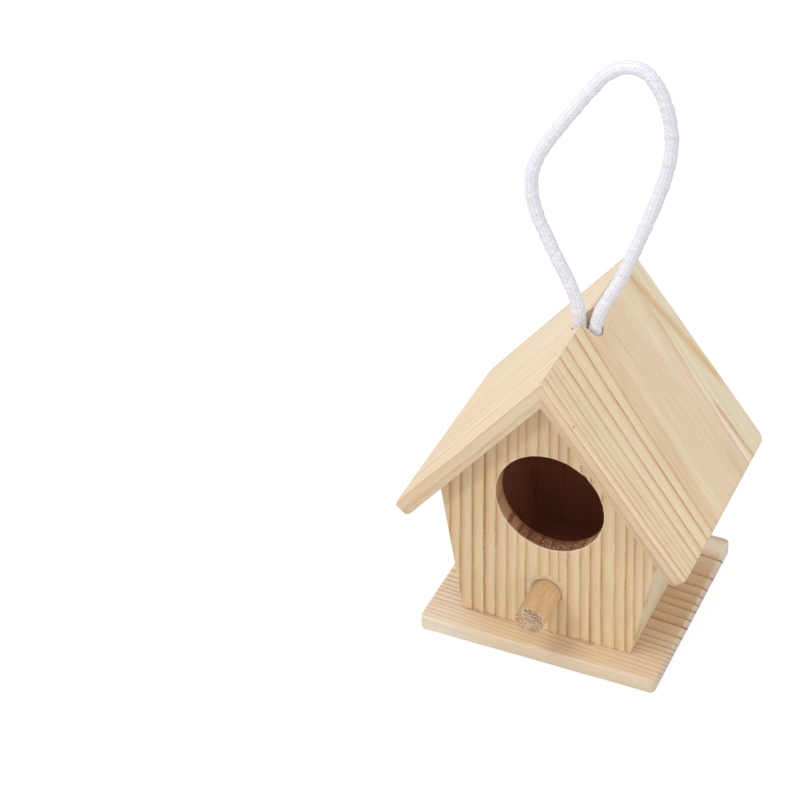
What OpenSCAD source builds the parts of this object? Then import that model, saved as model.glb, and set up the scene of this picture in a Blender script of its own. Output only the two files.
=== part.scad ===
// Hanging birdhouse of pale pine: a rectangular base plate, four walls that lean outward towards
// the eaves, two roof boards mitred at the ridge, a dowel perch and a loop of braided rope.
// Millimetres, +Z up, the front with the entrance faces -Y.
// The origin is the middle of the base plate's underside.

/* [Boards] */
// Thickness of every board of the house
board_thickness = 6.5; // [5:0.5:9]

/* [Base plate] */
// Width of the base plate, left to right
base_width = 92; // [80:1:110]
// Depth of the base plate, front to back
base_depth = 88; // [78:1:100]
// Radius of the plate's four upright corners
base_corner_radius = 2; // [1:0.5:6]
// Radius of the rounding along the plate's long and short edges
base_edge_radius = 0.8; // [0.4:0.1:2]

/* [Walls] */
// Width of the house where it stands on the plate
body_width_bottom = 66; // [58:1:74]
// Width of the house under the eaves
body_width_eaves = 85; // [76:1:92]
// Depth of the house, from the front wall's face to the back wall's face
body_depth = 67; // [60:1:74]

/* [Roof] */
// Height of the ridge above the surface that the house stands on
house_height = 126; // [118:1:140]
// Slope of both roof boards, from level
roof_slope = 51.3; // [48:0.1:54]
// Length of a roof board down its slope, from the ridge to the eave
roof_length = 89; // [82:1:96]
// Depth of the roof, front to back
roof_depth = 91; // [80:1:100]
// Radius of the roof boards' corners at the eaves
eave_corner_radius = 3; // [1:0.5:8]
// Radius of the rounding along the eaves
eave_edge_radius = 1.5; // [0.5:0.1:2.5]

/* [Entrance] */
// Diameter of the entrance hole
entrance_diameter = 41; // [28:1:44]
// Height of the entrance hole's middle above the surface that the house stands on
entrance_height = 65.5; // [60:0.5:70]

/* [Perch] */
// Diameter of the perch dowel
perch_diameter = 11; // [6:1:12]
// How far the perch stands out of the front wall
perch_reach = 17.5; // [10:0.5:30]
// Height of the perch's middle above the surface that the house stands on
perch_height = 25; // [20:0.5:30]
// Bevel round the perch's outer end
perch_bevel = 0.4; // [0.2:0.1:1.5]

/* [Rope] */
// Diameter of the braided rope
rope_diameter = 5; // [4:0.5:5.2]
// Diameter of the hole through the ridge for both strands of the rope
rope_hole_diameter = 11; // [11:0.5:13]
// Length of the rope's two cut ends below the knot
rope_tail_length = 11; // [6:1:14]
// Lean of each cut end from upright
rope_tail_lean = 22; // [5:1:35]

/* [Hidden] */
$fn = 96;

pine = "#ecd6b0";
pine_warm = "#e3c397";
dowel_wood = "#cfa56c";
cotton = "#f1f1f4";

// A little more than a cut needs, so that no face is left in it
cut = 1;

// Half widths of the house, and the lean of its side walls from upright
half_bottom = body_width_bottom / 2;
half_eaves = body_width_eaves / 2;
front_face = -body_depth / 2;
back_face = body_depth / 2;

// The roof's underside: its apex, and its height at a distance from the middle
roof_apex = house_height - board_thickness / cos(roof_slope);
function under_roof(x) = roof_apex - abs(x) * tan(roof_slope);
eaves_height = under_roof(half_eaves);

// The side walls' lean, as a run per unit of rise, and their thickness measured level
wall_run = (half_eaves - half_bottom) / (eaves_height - board_thickness);
wall_level_thickness = board_thickness * sqrt(1 + wall_run * wall_run);
inner_bottom = half_bottom - wall_level_thickness;
inner_top = (inner_bottom + wall_run * (roof_apex - board_thickness)) / (1 + wall_run * tan(roof_slope));

// The rope's middle line: up out of the knot, round the loop and back down into the knot
strand_offset = 2.7;
rope_sides = 10;
knot_top = 109;
rope_route = [
    [-strand_offset, 0, knot_top], [-strand_offset, 0, 116], [-3, 0, 123], [-4.8, -0.5, 132],
    [-8, -1, 140], [-12, -1.5, 148], [-16, -1.5, 156], [-19.5, -1.5, 163.5], [-21.6, -1.5, 172],
    [-21.2, -1.5, 181], [-18, -1, 189.5], [-13, -0.5, 198], [-7.5, 0, 206.5], [-2.5, 1, 214],
    [3, 1.5, 221], [9.5, 2, 224.5], [16, 3, 223], [21, 3.5, 216.5], [24, 4, 208], [25.3, 4.5, 199],
    [24.8, 4.5, 190], [23, 4.5, 181], [20.5, 4, 172], [17.5, 3.5, 162.5], [14.5, 3, 153],
    [11, 2, 143], [7.5, 1, 135], [4.5, 0.5, 128], [3, 0, 121.5], [strand_offset, 0, 115.5],
    [strand_offset, 0, knot_top]
];

// The knot's outline from its lowest middle point to its top, as radius and height
knot_outline = [
    [0, 93], [5.5, 93], [8, 95], [9, 98], [9, 103], [8.5, 106], [7, 108.2], [5.8, knot_top], [0, knot_top]
];
knot_low = 96;

// Unit vector along v
function unit(v) = v / norm(v);
// Direction of the route at point i, from its neighbours
function heading(route, i) = unit(route[min(i + 1, len(route) - 1)] - route[max(i - 1, 0)]);
// Ring of points round point i of the route, square to its direction
function ring(route, i, radius, sides) =
    let(along = heading(route, i), across = unit(cross(along, [0, 1, 0])), out = cross(across, along))
    [for (k = [0:sides - 1])
        route[i] + radius * (cos(360 * k / sides) * across + sin(360 * k / sides) * out)];

// Rectangle with its lower left corner at the origin and round corners
module round_rectangle(size, radius) {
    translate([radius, 0]) square([size.x - 2 * radius, size.y]);
    translate([0, radius]) square([size.x, size.y - 2 * radius]);
    for (x = [radius, size.x - radius], y = [radius, size.y - radius])
        translate([x, y]) circle(radius);
}

// Sheet of board lying in the XZ plane, from y = front towards +Y
module upright_board(front) {
    translate([0, front + board_thickness, 0])
        rotate([90, 0, 0])
            linear_extrude(board_thickness)
                children();
}

// Outline of the front and back walls: five sides, widest at the eaves
module gable_outline() {
    polygon([
        [-half_bottom, board_thickness], [half_bottom, board_thickness],
        [half_eaves, eaves_height], [0, roof_apex], [-half_eaves, eaves_height]
    ]);
}

// Vertical hole through the ridge for the rope
module rope_hole() {
    translate([0, 0, knot_top - board_thickness])
        cylinder(d = rope_hole_diameter, h = house_height - knot_top + 2 * board_thickness);
}

// Rectangular plate with eased edges and round corners
module base_plate() {
    color(pine_warm)
        intersection() {
            translate([-base_width / 2, -base_depth / 2, 0])
                linear_extrude(board_thickness)
                    round_rectangle([base_width, base_depth], base_corner_radius);
            translate([-base_width / 2, base_depth / 2 + cut, 0])
                rotate([90, 0, 0])
                    linear_extrude(base_depth + 2 * cut)
                        round_rectangle([base_width, board_thickness], base_edge_radius);
            translate([-base_width / 2 - cut, -base_depth / 2, 0])
                rotate([90, 0, 90])
                    linear_extrude(base_width + 2 * cut)
                        round_rectangle([base_depth, board_thickness], base_edge_radius);
        }
}

// Front wall with the entrance and the perch's hole
module front_wall() {
    color(pine)
        upright_board(front_face)
            difference() {
                gable_outline();
                translate([0, entrance_height]) circle(d = entrance_diameter);
                translate([0, perch_height]) circle(d = perch_diameter);
            }
}

// Back wall
module back_wall() {
    color(pine)
        upright_board(back_face - board_thickness)
            gable_outline();
}

// Leaning side wall between the front and back walls, its top cut to the roof's slope
module right_side_wall() {
    color(pine_warm)
        translate([0, back_face - board_thickness, 0])
            rotate([90, 0, 0])
                linear_extrude(body_depth - 2 * board_thickness)
                    polygon([
                        [half_bottom, board_thickness], [half_eaves, eaves_height],
                        [inner_top, under_roof(inner_top)], [inner_bottom, board_thickness]
                    ]);
}

// The other side wall, mirrored
module left_side_wall() {
    mirror([1, 0, 0]) right_side_wall();
}

// Roof board: mitred along the ridge, its eave rounded in section and at both corners
module right_roof_board() {
    mitre = board_thickness * tan(roof_slope);
    color(pine)
        difference() {
            translate([0, 0, house_height])
                rotate([0, roof_slope, 0])
                    intersection() {
                        translate([0, roof_depth / 2, 0])
                            rotate([90, 0, 0])
                                linear_extrude(roof_depth)
                                    intersection() {
                                        polygon([
                                            [0, 0], [roof_length, 0],
                                            [roof_length, -board_thickness], [mitre, -board_thickness]
                                        ]);
                                        translate([-roof_length, -board_thickness])
                                            round_rectangle([2 * roof_length, board_thickness], eave_edge_radius);
                                    }
                        translate([-roof_length, -roof_depth / 2, -board_thickness - cut])
                            linear_extrude(board_thickness + 2 * cut)
                                round_rectangle([2 * roof_length, roof_depth], eave_corner_radius);
                    }
            rope_hole();
        }
}

// The other roof board, mirrored
module left_roof_board() {
    mirror([1, 0, 0]) right_roof_board();
}

// Round dowel glued into the front wall, its outer end bevelled
module perch_dowel() {
    length = perch_reach + board_thickness;
    radius = perch_diameter / 2;
    color(dowel_wood)
        translate([0, front_face + board_thickness, perch_height])
            rotate([90, 0, 0])
                rotate_extrude()
                    polygon([
                        [0, 0], [radius, 0], [radius, length - perch_bevel],
                        [radius - perch_bevel, length], [0, length]
                    ]);
}

// Braided rope, as a tube along its middle line
module rope_loop() {
    rings = len(rope_route);
    last = (rings - 1) * rope_sides;
    color(cotton)
        polyhedron(
            points = [for (i = [0:rings - 1]) each ring(rope_route, i, rope_diameter / 2, rope_sides)],
            faces = [
                [for (k = [0:rope_sides - 1]) k],
                for (i = [0:rings - 2], k = [0:rope_sides - 1])
                    let(a = i * rope_sides, next = (k + 1) % rope_sides)
                    [a + k, a + rope_sides + k, a + rope_sides + next, a + next],
                [for (k = [rope_sides - 1:-1:0]) last + k]
            ]);
}

// Stopper knot drawn up under the ridge, with the rope's two cut ends below it
module rope_knot() {
    color(cotton)
        union() {
            intersection() {
                rotate_extrude() polygon(knot_outline);
                rotate([90, 0, 0])
                    translate([0, 0, -2 * rope_hole_diameter])
                        linear_extrude(4 * rope_hole_diameter)
                            polygon([
                                [-half_eaves, eaves_height], [half_eaves, eaves_height], [0, roof_apex]
                            ]);
            }
            for (side = [-1, 1])
                translate([side * strand_offset, 0, knot_low])
                    rotate([0, 180 - side * rope_tail_lean, 0])
                        cylinder(d = rope_diameter, h = rope_tail_length + knot_low - knot_outline[0][1]);
        }
}

base_plate();
front_wall();
back_wall();
left_side_wall();
right_side_wall();
left_roof_board();
right_roof_board();
perch_dowel();
rope_loop();
rope_knot();
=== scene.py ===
"""Looks of the small hanging birdhouse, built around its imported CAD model.

Sizes in the classes are millimetres in the model's own frame: +Z is up, the front with the
entrance faces -Y, and the origin is the middle of the base plate's underside. Meshes are written
in metres. Every board, the perch and the rope replace their plain CAD solids piece for piece.
"""

from __future__ import annotations

import logging
import math
from collections.abc import Sequence
from dataclasses import dataclass, field
from enum import Enum

import bmesh
import bpy
import numpy as np
from mathutils import Matrix, Vector
from mathutils.geometry import delaunay_2d_cdt


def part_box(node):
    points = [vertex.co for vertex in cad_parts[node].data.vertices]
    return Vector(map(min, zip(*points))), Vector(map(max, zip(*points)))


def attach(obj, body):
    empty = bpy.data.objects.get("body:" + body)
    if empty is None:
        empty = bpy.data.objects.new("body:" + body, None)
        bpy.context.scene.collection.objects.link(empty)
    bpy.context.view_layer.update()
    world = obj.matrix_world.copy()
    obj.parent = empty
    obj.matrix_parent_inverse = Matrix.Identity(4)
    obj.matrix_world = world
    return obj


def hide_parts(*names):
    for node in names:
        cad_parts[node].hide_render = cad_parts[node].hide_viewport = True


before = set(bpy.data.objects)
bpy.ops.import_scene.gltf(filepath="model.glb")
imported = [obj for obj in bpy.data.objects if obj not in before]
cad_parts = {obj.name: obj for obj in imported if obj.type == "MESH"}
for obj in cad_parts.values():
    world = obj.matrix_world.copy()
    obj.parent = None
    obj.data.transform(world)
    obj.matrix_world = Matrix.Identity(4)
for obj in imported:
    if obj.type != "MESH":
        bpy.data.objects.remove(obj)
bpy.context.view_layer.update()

log = logging.getLogger("birdhouse")

MM = 0.001
ROOT_BODY = "root"

Triple = tuple[float, float, float]
Colour = tuple[float, float, float, float]
Pairs = tuple[tuple[float, float], ...]

WHITE: Triple = (1.0, 1.0, 1.0)
FAR = 900.0  # farther than any board reaches
RIPPLE_WAVES = 5

# Edges of a mesh that turn by more degrees than this stay sharp.
SHARP_WOOD = 38.0
SHARP_DOWEL = 30.0
SHARP_GLUE = 60.0
SHARP_ROPE = 75.0


@dataclass(frozen=True)
class Sizes:
    """The sizes that the boards, the perch, the rope and the glue share."""

    board: float = 6.5
    slope: float = 51.3
    ridge: float = 126.0
    foot_half: float = 33.0
    eaves_half: float = 42.5
    depth_half: float = 33.5
    entrance: float = 20.5
    entrance_height: float = 65.5
    perch: float = 5.5
    perch_height: float = 25.0
    rope: float = 5.0
    rope_hole: float = 5.5

    @property
    def angle(self) -> float:
        """The roof's slope in radians."""
        return math.radians(self.slope)

    @property
    def room_half(self) -> float:
        """Half the depth of the room inside."""
        return self.depth_half - self.board

    @property
    def eaves_height(self) -> float:
        """The height of the walls' tops at the eaves."""
        apex = self.ridge - self.board / math.cos(self.angle)
        return apex - self.eaves_half * math.tan(self.angle)


SIZES = Sizes()


class Slot(Enum):
    """The record's material slots."""

    PINE = "pine"
    DOWEL = "dowel"
    ROPE = "cotton_rope"


def linear(code: str) -> Colour:
    """Turns a colour code into scene colour.

    Args:
        code: Six hexadecimal digits, as shown on a screen.

    Returns:
        The linear red, green and blue, and 1.
    """
    channels = [int(code[i : i + 2], 16) / 255 for i in (0, 2, 4)]
    red, green, blue = (c / 12.92 if c <= 0.04045 else ((c + 0.055) / 1.055) ** 2.4 for c in channels)
    return red, green, blue, 1.0


def grey(level: float) -> Colour:
    """A grey of one level, in scene colour."""
    return level, level, level, 1.0


def cad_box(node: str) -> tuple[Vector, Vector]:
    """The lowest and the highest corner of a CAD solid, in millimetres."""
    low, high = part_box(node)
    return low / MM, high / MM


def placed(name: str, data: bpy.types.ID) -> bpy.types.Object:
    """Puts new data into the scene.

    Args:
        name: The object's name.
        data: Its mesh, lamp or camera.

    Returns:
        The object.
    """
    thing = bpy.data.objects.new(name, data)
    bpy.context.scene.collection.objects.link(thing)
    return thing


# == Materials ==


class Signal:
    """One output socket of a material. Python's operators on it add Math nodes."""

    def __init__(self, bench: Bench, socket: bpy.types.NodeSocket) -> None:
        """Wraps a socket that belongs to a bench."""
        self.bench = bench
        self.socket = socket

    def __add__(self, other: Signal | float) -> Signal:
        """Sum."""
        return self.bench.math("ADD", self, other)

    def __radd__(self, other: float) -> Signal:
        """Sum, from the right."""
        return self.bench.math("ADD", other, self)

    def __sub__(self, other: Signal | float) -> Signal:
        """Difference."""
        return self.bench.math("SUBTRACT", self, other)

    def __rsub__(self, other: float) -> Signal:
        """Difference, from the right."""
        return self.bench.math("SUBTRACT", other, self)

    def __mul__(self, other: Signal | float) -> Signal:
        """Product."""
        return self.bench.math("MULTIPLY", self, other)

    def __rmul__(self, other: float) -> Signal:
        """Product, from the right."""
        return self.bench.math("MULTIPLY", other, self)

    def __truediv__(self, other: Signal | float) -> Signal:
        """Quotient."""
        return self.bench.math("DIVIDE", self, other)

    def __rtruediv__(self, other: float) -> Signal:
        """Quotient, from the right."""
        return self.bench.math("DIVIDE", other, self)

    def __pow__(self, other: Signal | float) -> Signal:
        """Power."""
        return self.bench.math("POWER", self, other)

    def __abs__(self) -> Signal:
        """Size without its sign."""
        return self.bench.math("ABSOLUTE", self)

    def __neg__(self) -> Signal:
        """The same with the other sign."""
        return self.bench.math("MULTIPLY", self, -1.0)

    def exp(self) -> Signal:
        """Power of e."""
        return self.bench.math("EXPONENT", self)

    def sine(self) -> Signal:
        """Sine of an angle in radians."""
        return self.bench.math("SINE", self)

    def fraction(self) -> Signal:
        """What is left above the next lower whole number."""
        return self.bench.math("FRACT", self)

    def at_least(self, other: Signal | float) -> Signal:
        """The larger of two."""
        return self.bench.math("MAXIMUM", self, other)

    def at_most(self, other: Signal | float) -> Signal:
        """The smaller of two."""
        return self.bench.math("MINIMUM", self, other)

    def above(self, other: Signal | float) -> Signal:
        """1 where this is the larger, and 0 elsewhere."""
        return self.bench.math("GREATER_THAN", self, other)

    def ramp(self, low: float, high: float) -> Signal:
        """Smooth step from 0 at low to 1 at high."""
        span = {0: self, 1: low, 2: high, 3: 0.0, 4: 1.0}
        return self.bench.node("ShaderNodeMapRange", {"interpolation_type": "SMOOTHSTEP"}, span)

    def inside(self, reach: float, soft: float) -> Signal:
        """1 where the size of this is under reach, falling to 0 over a soft margin."""
        return 1.0 - abs(self).ramp(reach - soft, reach + soft)


Value = Signal | float | Sequence[float]


class Bench:
    """Builds the nodes of one material, or of the world."""

    def __init__(self, owner: bpy.types.Material | bpy.types.World) -> None:
        """Clears the owner's nodes.

        Args:
            owner: The material or world that the nodes belong to.
        """
        self.owner = owner
        owner.use_nodes = True
        self.tree = owner.node_tree
        self.tree.nodes.clear()

    @classmethod
    def of(cls, name: str) -> Bench:
        """A bench for a new material."""
        return cls(bpy.data.materials.new(name))

    def node(
        self,
        kind: str,
        settings: dict[str, object] | None = None,
        inputs: dict[int | str, Value] | None = None,
        output: int | str = 0,
    ) -> Signal:
        """Adds any node.

        Args:
            kind: The node's type.
            settings: Its properties, set first. "points" holds a curve's points.
            inputs: Values or signals by socket name or number.
            output: The output to hand back.

        Returns:
            The chosen output.
        """
        node = self.tree.nodes.new(kind)
        for key, value in (settings or {}).items():
            if key == "points":
                self._bend(node.mapping, value)
            else:
                setattr(node, key, value)
        for key, value in (inputs or {}).items():
            if isinstance(value, Signal):
                self.tree.links.new(value.socket, node.inputs[key])
            else:
                node.inputs[key].default_value = value
        return Signal(self, node.outputs[output])

    @staticmethod
    def _bend(mapping: bpy.types.CurveMapping, points: Sequence[tuple[float, float]]) -> None:
        """Lays straight lines through a curve's points.

        Args:
            mapping: The curve node's mapping.
            points: Places and heights from 0 to 1, in order.
        """
        curve = mapping.curves[0]
        curve.points[0].location = points[0]
        curve.points[1].location = points[-1]
        for x, y in points[1:-1]:
            curve.points.new(x, y)
        for point in curve.points:
            point.handle_type = "VECTOR"
        mapping.update()

    def math(self, operation: str, *values: Signal | float) -> Signal:
        """Adds a Math node for one to three values."""
        return self.node("ShaderNodeMath", {"operation": operation}, dict(enumerate(values)))

    def mix(self, factor: Signal | float, first: Value, second: Value, blend: str = "MIX") -> Signal:
        """Mixes two colours, the first at 0 and the second at 1."""
        settings = {"data_type": "RGBA", "blend_type": blend}
        return self.node("ShaderNodeMix", settings, {0: factor, 6: first, 7: second}, 2)

    def multiplied(self, colour: Value, other: Value) -> Signal:
        """Multiplies two colours."""
        return self.mix(1.0, colour, other, "MULTIPLY")

    def scaled(self, colour: Signal, factor: Signal | float) -> Signal:
        """A colour with each channel multiplied by a factor."""
        return self.node("ShaderNodeVectorMath", {"operation": "SCALE"}, {0: colour, "Scale": factor})

    def dot(self, vector: Signal, direction: Triple) -> Signal:
        """Length of a vector along a direction, times the direction's own."""
        settings = {"operation": "DOT_PRODUCT"}
        return self.node("ShaderNodeVectorMath", settings, {0: vector, 1: direction}, "Value")

    def place(self) -> Signal:
        """Where a point lies in the model's frame, in metres."""
        return self.node("ShaderNodeTexCoord", output="Object")

    def millimetres(self) -> tuple[Signal, ...]:
        """Where a point lies in the model's frame: x, y and z in millimetres."""
        place = self.place()
        return tuple(self.dot(place, tuple(float(i == k) / MM for i in range(3))) for k in range(3))

    def normal(self) -> Signal:
        """The way the surface faces."""
        return self.node("ShaderNodeNewGeometry", output="Normal")

    def noise(self, point: Sequence[Signal | float], detail: float, roughness: float = 0.5) -> Signal:
        """Adds smooth noise around 0, from about -0.5 to 0.5.

        Args:
            point: Three coordinates, each already divided by the size of the pattern.
            detail: How many finer octaves it has.
            roughness: How strong they are.

        Returns:
            The noise.
        """
        where = self.node("ShaderNodeCombineXYZ", None, dict(enumerate(point)))
        inputs = {"Vector": where, "Scale": 1.0, "Detail": detail, "Roughness": roughness}
        return self.node("ShaderNodeTexNoise", {"noise_dimensions": "3D"}, inputs) - 0.5

    def cloud(self, point: Sequence[Signal], size: float, detail: float, roughness: float = 0.5) -> Signal:
        """Adds noise around 0 that has one size in every direction."""
        return self.noise([c / size for c in point], detail, roughness)

    def table(self, value: Signal, points: Sequence[tuple[float, float]]) -> Signal:
        """Looks a value up on straight lines through points.

        Args:
            value: The value.
            points: Places in order, and what is read at each, none of it negative.

        Returns:
            What is read there.
        """
        low, high = points[0][0], points[-1][0]
        most = max(y for _, y in points) or 1.0
        share = [((x - low) / (high - low), y / most) for x, y in points]
        where = (value - low) / (high - low)
        return self.node("ShaderNodeFloatCurve", {"points": share}, {0: 1.0, 1: where}) * most

    def finish(
        self,
        colour: Value,
        roughness: Value,
        height: Signal | None = None,
        constants: dict[str, Value] | None = None,
    ) -> bpy.types.Material:
        """Closes the material with its shader.

        Args:
            colour: The base colour.
            roughness: The roughness.
            height: Relief in millimetres, for the bump.
            constants: Other values that are the same all over.

        Returns:
            The material.
        """
        inputs: dict[int | str, Value] = {"Base Color": colour, "Roughness": roughness}
        inputs.update(constants or {})
        if height is not None:
            bump = {"Strength": 1.0, "Distance": MM, "Height": height}
            inputs["Normal"] = self.node("ShaderNodeBump", None, bump)
        self.show(self.node("ShaderNodeBsdfPrincipled", None, inputs))
        return self.owner

    def show(self, shader: Signal) -> None:
        """Links a shader to the owner's surface.

        Args:
            shader: The shader.
        """
        kind = "World" if isinstance(self.owner, bpy.types.World) else "Material"
        output = self.tree.nodes.new(f"ShaderNodeOutput{kind}")
        self.tree.links.new(shader.socket, output.inputs["Surface"])


@dataclass(frozen=True)
class Cut:
    """How a board lies in its tree: the point measured from, and its three directions."""

    origin: Triple
    along: Triple
    across: Triple
    deep: Triple


@dataclass(frozen=True)
class Growth:
    """Growth rings across a board, in the direction in which the tree grew.

    Each ring is the place of its dark edge and how dark it is. The rings tilt with depth. Over the
    run of the board they shift by drift, plus spread times their place, between least and most.
    Wander, tremor and rough are their slow, quick and fine unevenness. Late, halo and edge are how
    far the dark line, the warm wood before it and its sharp side reach, and glint the pale edge.
    """

    rings: Pairs
    tilt: float = 0.0
    drift: float = 0.0
    spread: float = 0.0
    least: float = -30.0
    most: float = 30.0
    power: float = 1.0
    run: float = 88.0
    wander: float = 1.6
    tremor: float = 0.45
    late: float = 0.42
    halo: float = 1.3
    edge: float = 0.14
    glint: float = 0.45
    rough: float = 0.0
    nudge: float = 0.02

    @staticmethod
    def even(low: float, high: float, spacing: float, dark: float, seed: int) -> Pairs:
        """Makes rings at about one spacing.

        Args:
            low: The first ring's place.
            high: About the last ring's place.
            spacing: The usual distance between two.
            dark: The usual darkness.
            seed: The seed of their variation.

        Returns:
            The rings.
        """
        rng = np.random.default_rng(seed)
        rings = []
        place = low
        while place < high:
            rings.append((place, float(dark * rng.uniform(0.35, 1.25))))
            place += float(spacing * rng.uniform(0.6, 1.5))
        rings.append((place, dark))
        return tuple(rings)

    def line(self, grain: Grain) -> Signal:
        """Finds where a point lies across the rings.

        Args:
            grain: The point in the board.

        Returns:
            Its place, in the rings' own measure.
        """
        share = grain.along / self.run
        if self.power != 1.0:
            share = share.at_least(0.0) ** self.power
        drift = (grain.across * self.spread + self.drift).at_least(self.least).at_most(self.most)
        line = grain.across + grain.deep * self.tilt + drift * share
        slow = grain.noise(60, 17, 2.0, line=line)
        quick = grain.noise(8, 2.4, 3.0, 0.6, line)
        line = line + slow * self.wander + quick * self.tremor
        if self.rough > 0:
            line = line + grain.noise(0.8, 1.1, 2.0, 0.6, line) * self.rough
        return line

    def near(self, grain: Grain) -> tuple[Signal, Signal, Signal]:
        """Works out how near a point is to the rings around it.

        Args:
            grain: The point in the board.

        Returns:
            The dark line, the warm wood that leads up to it, and the pale edge after it.
        """
        line = self.line(grain)
        places = [place for place, _ in self.rings]
        steps = []
        for low, high in zip(places[:-1], places[1:]):
            nudge = self.nudge * (high - low)
            steps += [(low + nudge, high - low), (high - nudge, high - low)]
        steps[0], steps[-1] = (places[0], steps[0][1]), (places[-1], steps[-1][1])
        count = grain.bench.table(line, [(place, float(i)) for i, place in enumerate(places)])
        spacing = grain.bench.table(line, steps)
        dark = grain.bench.table(line, self.rings)
        passed = count.fraction() * spacing
        ahead = spacing - passed
        rise = (ahead / -self.late).exp()
        edge = (passed / -self.edge).exp()
        worn = grain.noise(5, 0.5, 3.0, 0.65)
        faded = grain.noise(24, 2.6, 1.0)
        late = rise.at_least(edge) * dark * (1.0 + worn * 0.9 + faded * 1.5)
        halo = (ahead / -self.halo).exp() * dark
        glint = (passed / -self.glint).exp() * (1.0 - edge) * dark
        return late, halo, glint


@dataclass(frozen=True)
class Grain:
    """A point of a board as its place in the tree: along the grain, across it and deep."""

    bench: Bench
    along: Signal
    across: Signal
    deep: Signal
    seed: float

    @property
    def point(self) -> tuple[Signal, Signal, Signal]:
        """The three distances."""
        return self.along, self.across, self.deep

    def noise(
        self, long: float, thick: float, detail: float, roughness: float = 0.5, line: Signal | None = None
    ) -> Signal:
        """Adds noise that is drawn out along the grain.

        Args:
            long: The pattern's size along the grain.
            thick: Its size across the grain and into the depth.
            detail: How many finer octaves it has.
            roughness: How strong they are.
            line: What it follows in place of the distance across.

        Returns:
            The noise, around 0.
        """
        across = self.across if line is None else line
        point = (self.along / long + self.seed, across / thick, self.deep / thick)
        return self.bench.noise(point, detail, roughness)


@dataclass(frozen=True)
class Wood(Grain):
    """A point of a board with what its colour and relief are made from.

    Facing is how squarely the surface cuts the grain, and end is 1 on end grain.
    """

    late: Signal
    halo: Signal
    glint: Signal
    fibres: Signal
    pores: Signal
    facing: Signal
    end: Signal


@dataclass(frozen=True)
class Streak:
    """A stretch of another colour that follows the grain, under or over the rings."""

    place: float
    half_width: float
    tone: str
    strength: float
    lean: float = 0.0
    soft: float = 1.0
    begin: float = -FAR
    end: float = FAR
    fade: float = 6.0
    over: bool = False

    def paint(self, grain: Grain, colour: Signal) -> Signal:
        """Colours the wood where the streak runs.

        Args:
            grain: The point in the board.
            colour: The colour so far.

        Returns:
            The colour with the streak.
        """
        along, across, _ = grain.point
        away = across - self.place - along * self.lean
        wave = grain.bench.noise((along / 11, across / 30 + self.place, 3.0), 2.0) * self.half_width
        mask = (away + wave * 0.5).inside(self.half_width, self.soft)
        mask = mask * along.ramp(self.begin - self.fade, self.begin)
        mask = mask * (1.0 - along.ramp(self.end, self.end + self.fade))
        return grain.bench.mix(mask * self.strength, colour, linear(self.tone))


@dataclass(frozen=True)
class RoomShade:
    """Painted shade where a board faces the room inside, by its depth and its reach across and along."""

    on_face: bool = False
    reach: float = FAR
    begin: float = -FAR
    end: float = FAR
    tone: str = "d6a89c"
    plain: float = 0.55
    skin: float = 0.15
    fade: float = 0.9
    margin: float = 0.3

    def mask(self, grain: Grain) -> Signal:
        """Finds the surface that faces the room.

        Args:
            grain: The point in the board.

        Returns:
            1 on that surface.
        """
        if self.on_face:
            near = 1.0 - grain.deep.ramp(self.skin, self.fade)
        else:
            near = grain.deep.ramp(SIZES.board - self.fade, SIZES.board - self.skin)
        if self.reach < FAR:
            near = near * grain.across.inside(self.reach, self.margin)
        if self.begin > -FAR:
            near = near * grain.along.ramp(self.begin - self.margin, self.begin + self.margin)
        if self.end < FAR:
            near = near * (1.0 - grain.along.ramp(self.end - self.margin, self.end + self.margin))
        return near

    def paint_room_shade(self, grain: Grain, colour: Signal, early: str) -> Signal:
        """Paints shade on the wood that faces the room.

        Args:
            grain: The point in the board.
            colour: The colour so far.
            early: The colour of the board's plain wood.

        Returns:
            The colour with the room's shade.
        """
        # Painted shade: the inside faces are flattened towards plain wood and darkened by the tone.
        dark = grain.bench.mix(self.plain, colour, linear(early))
        dark = grain.bench.multiplied(dark, linear(self.tone))
        return grain.bench.mix(self.mask(grain), colour, dark)


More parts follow.
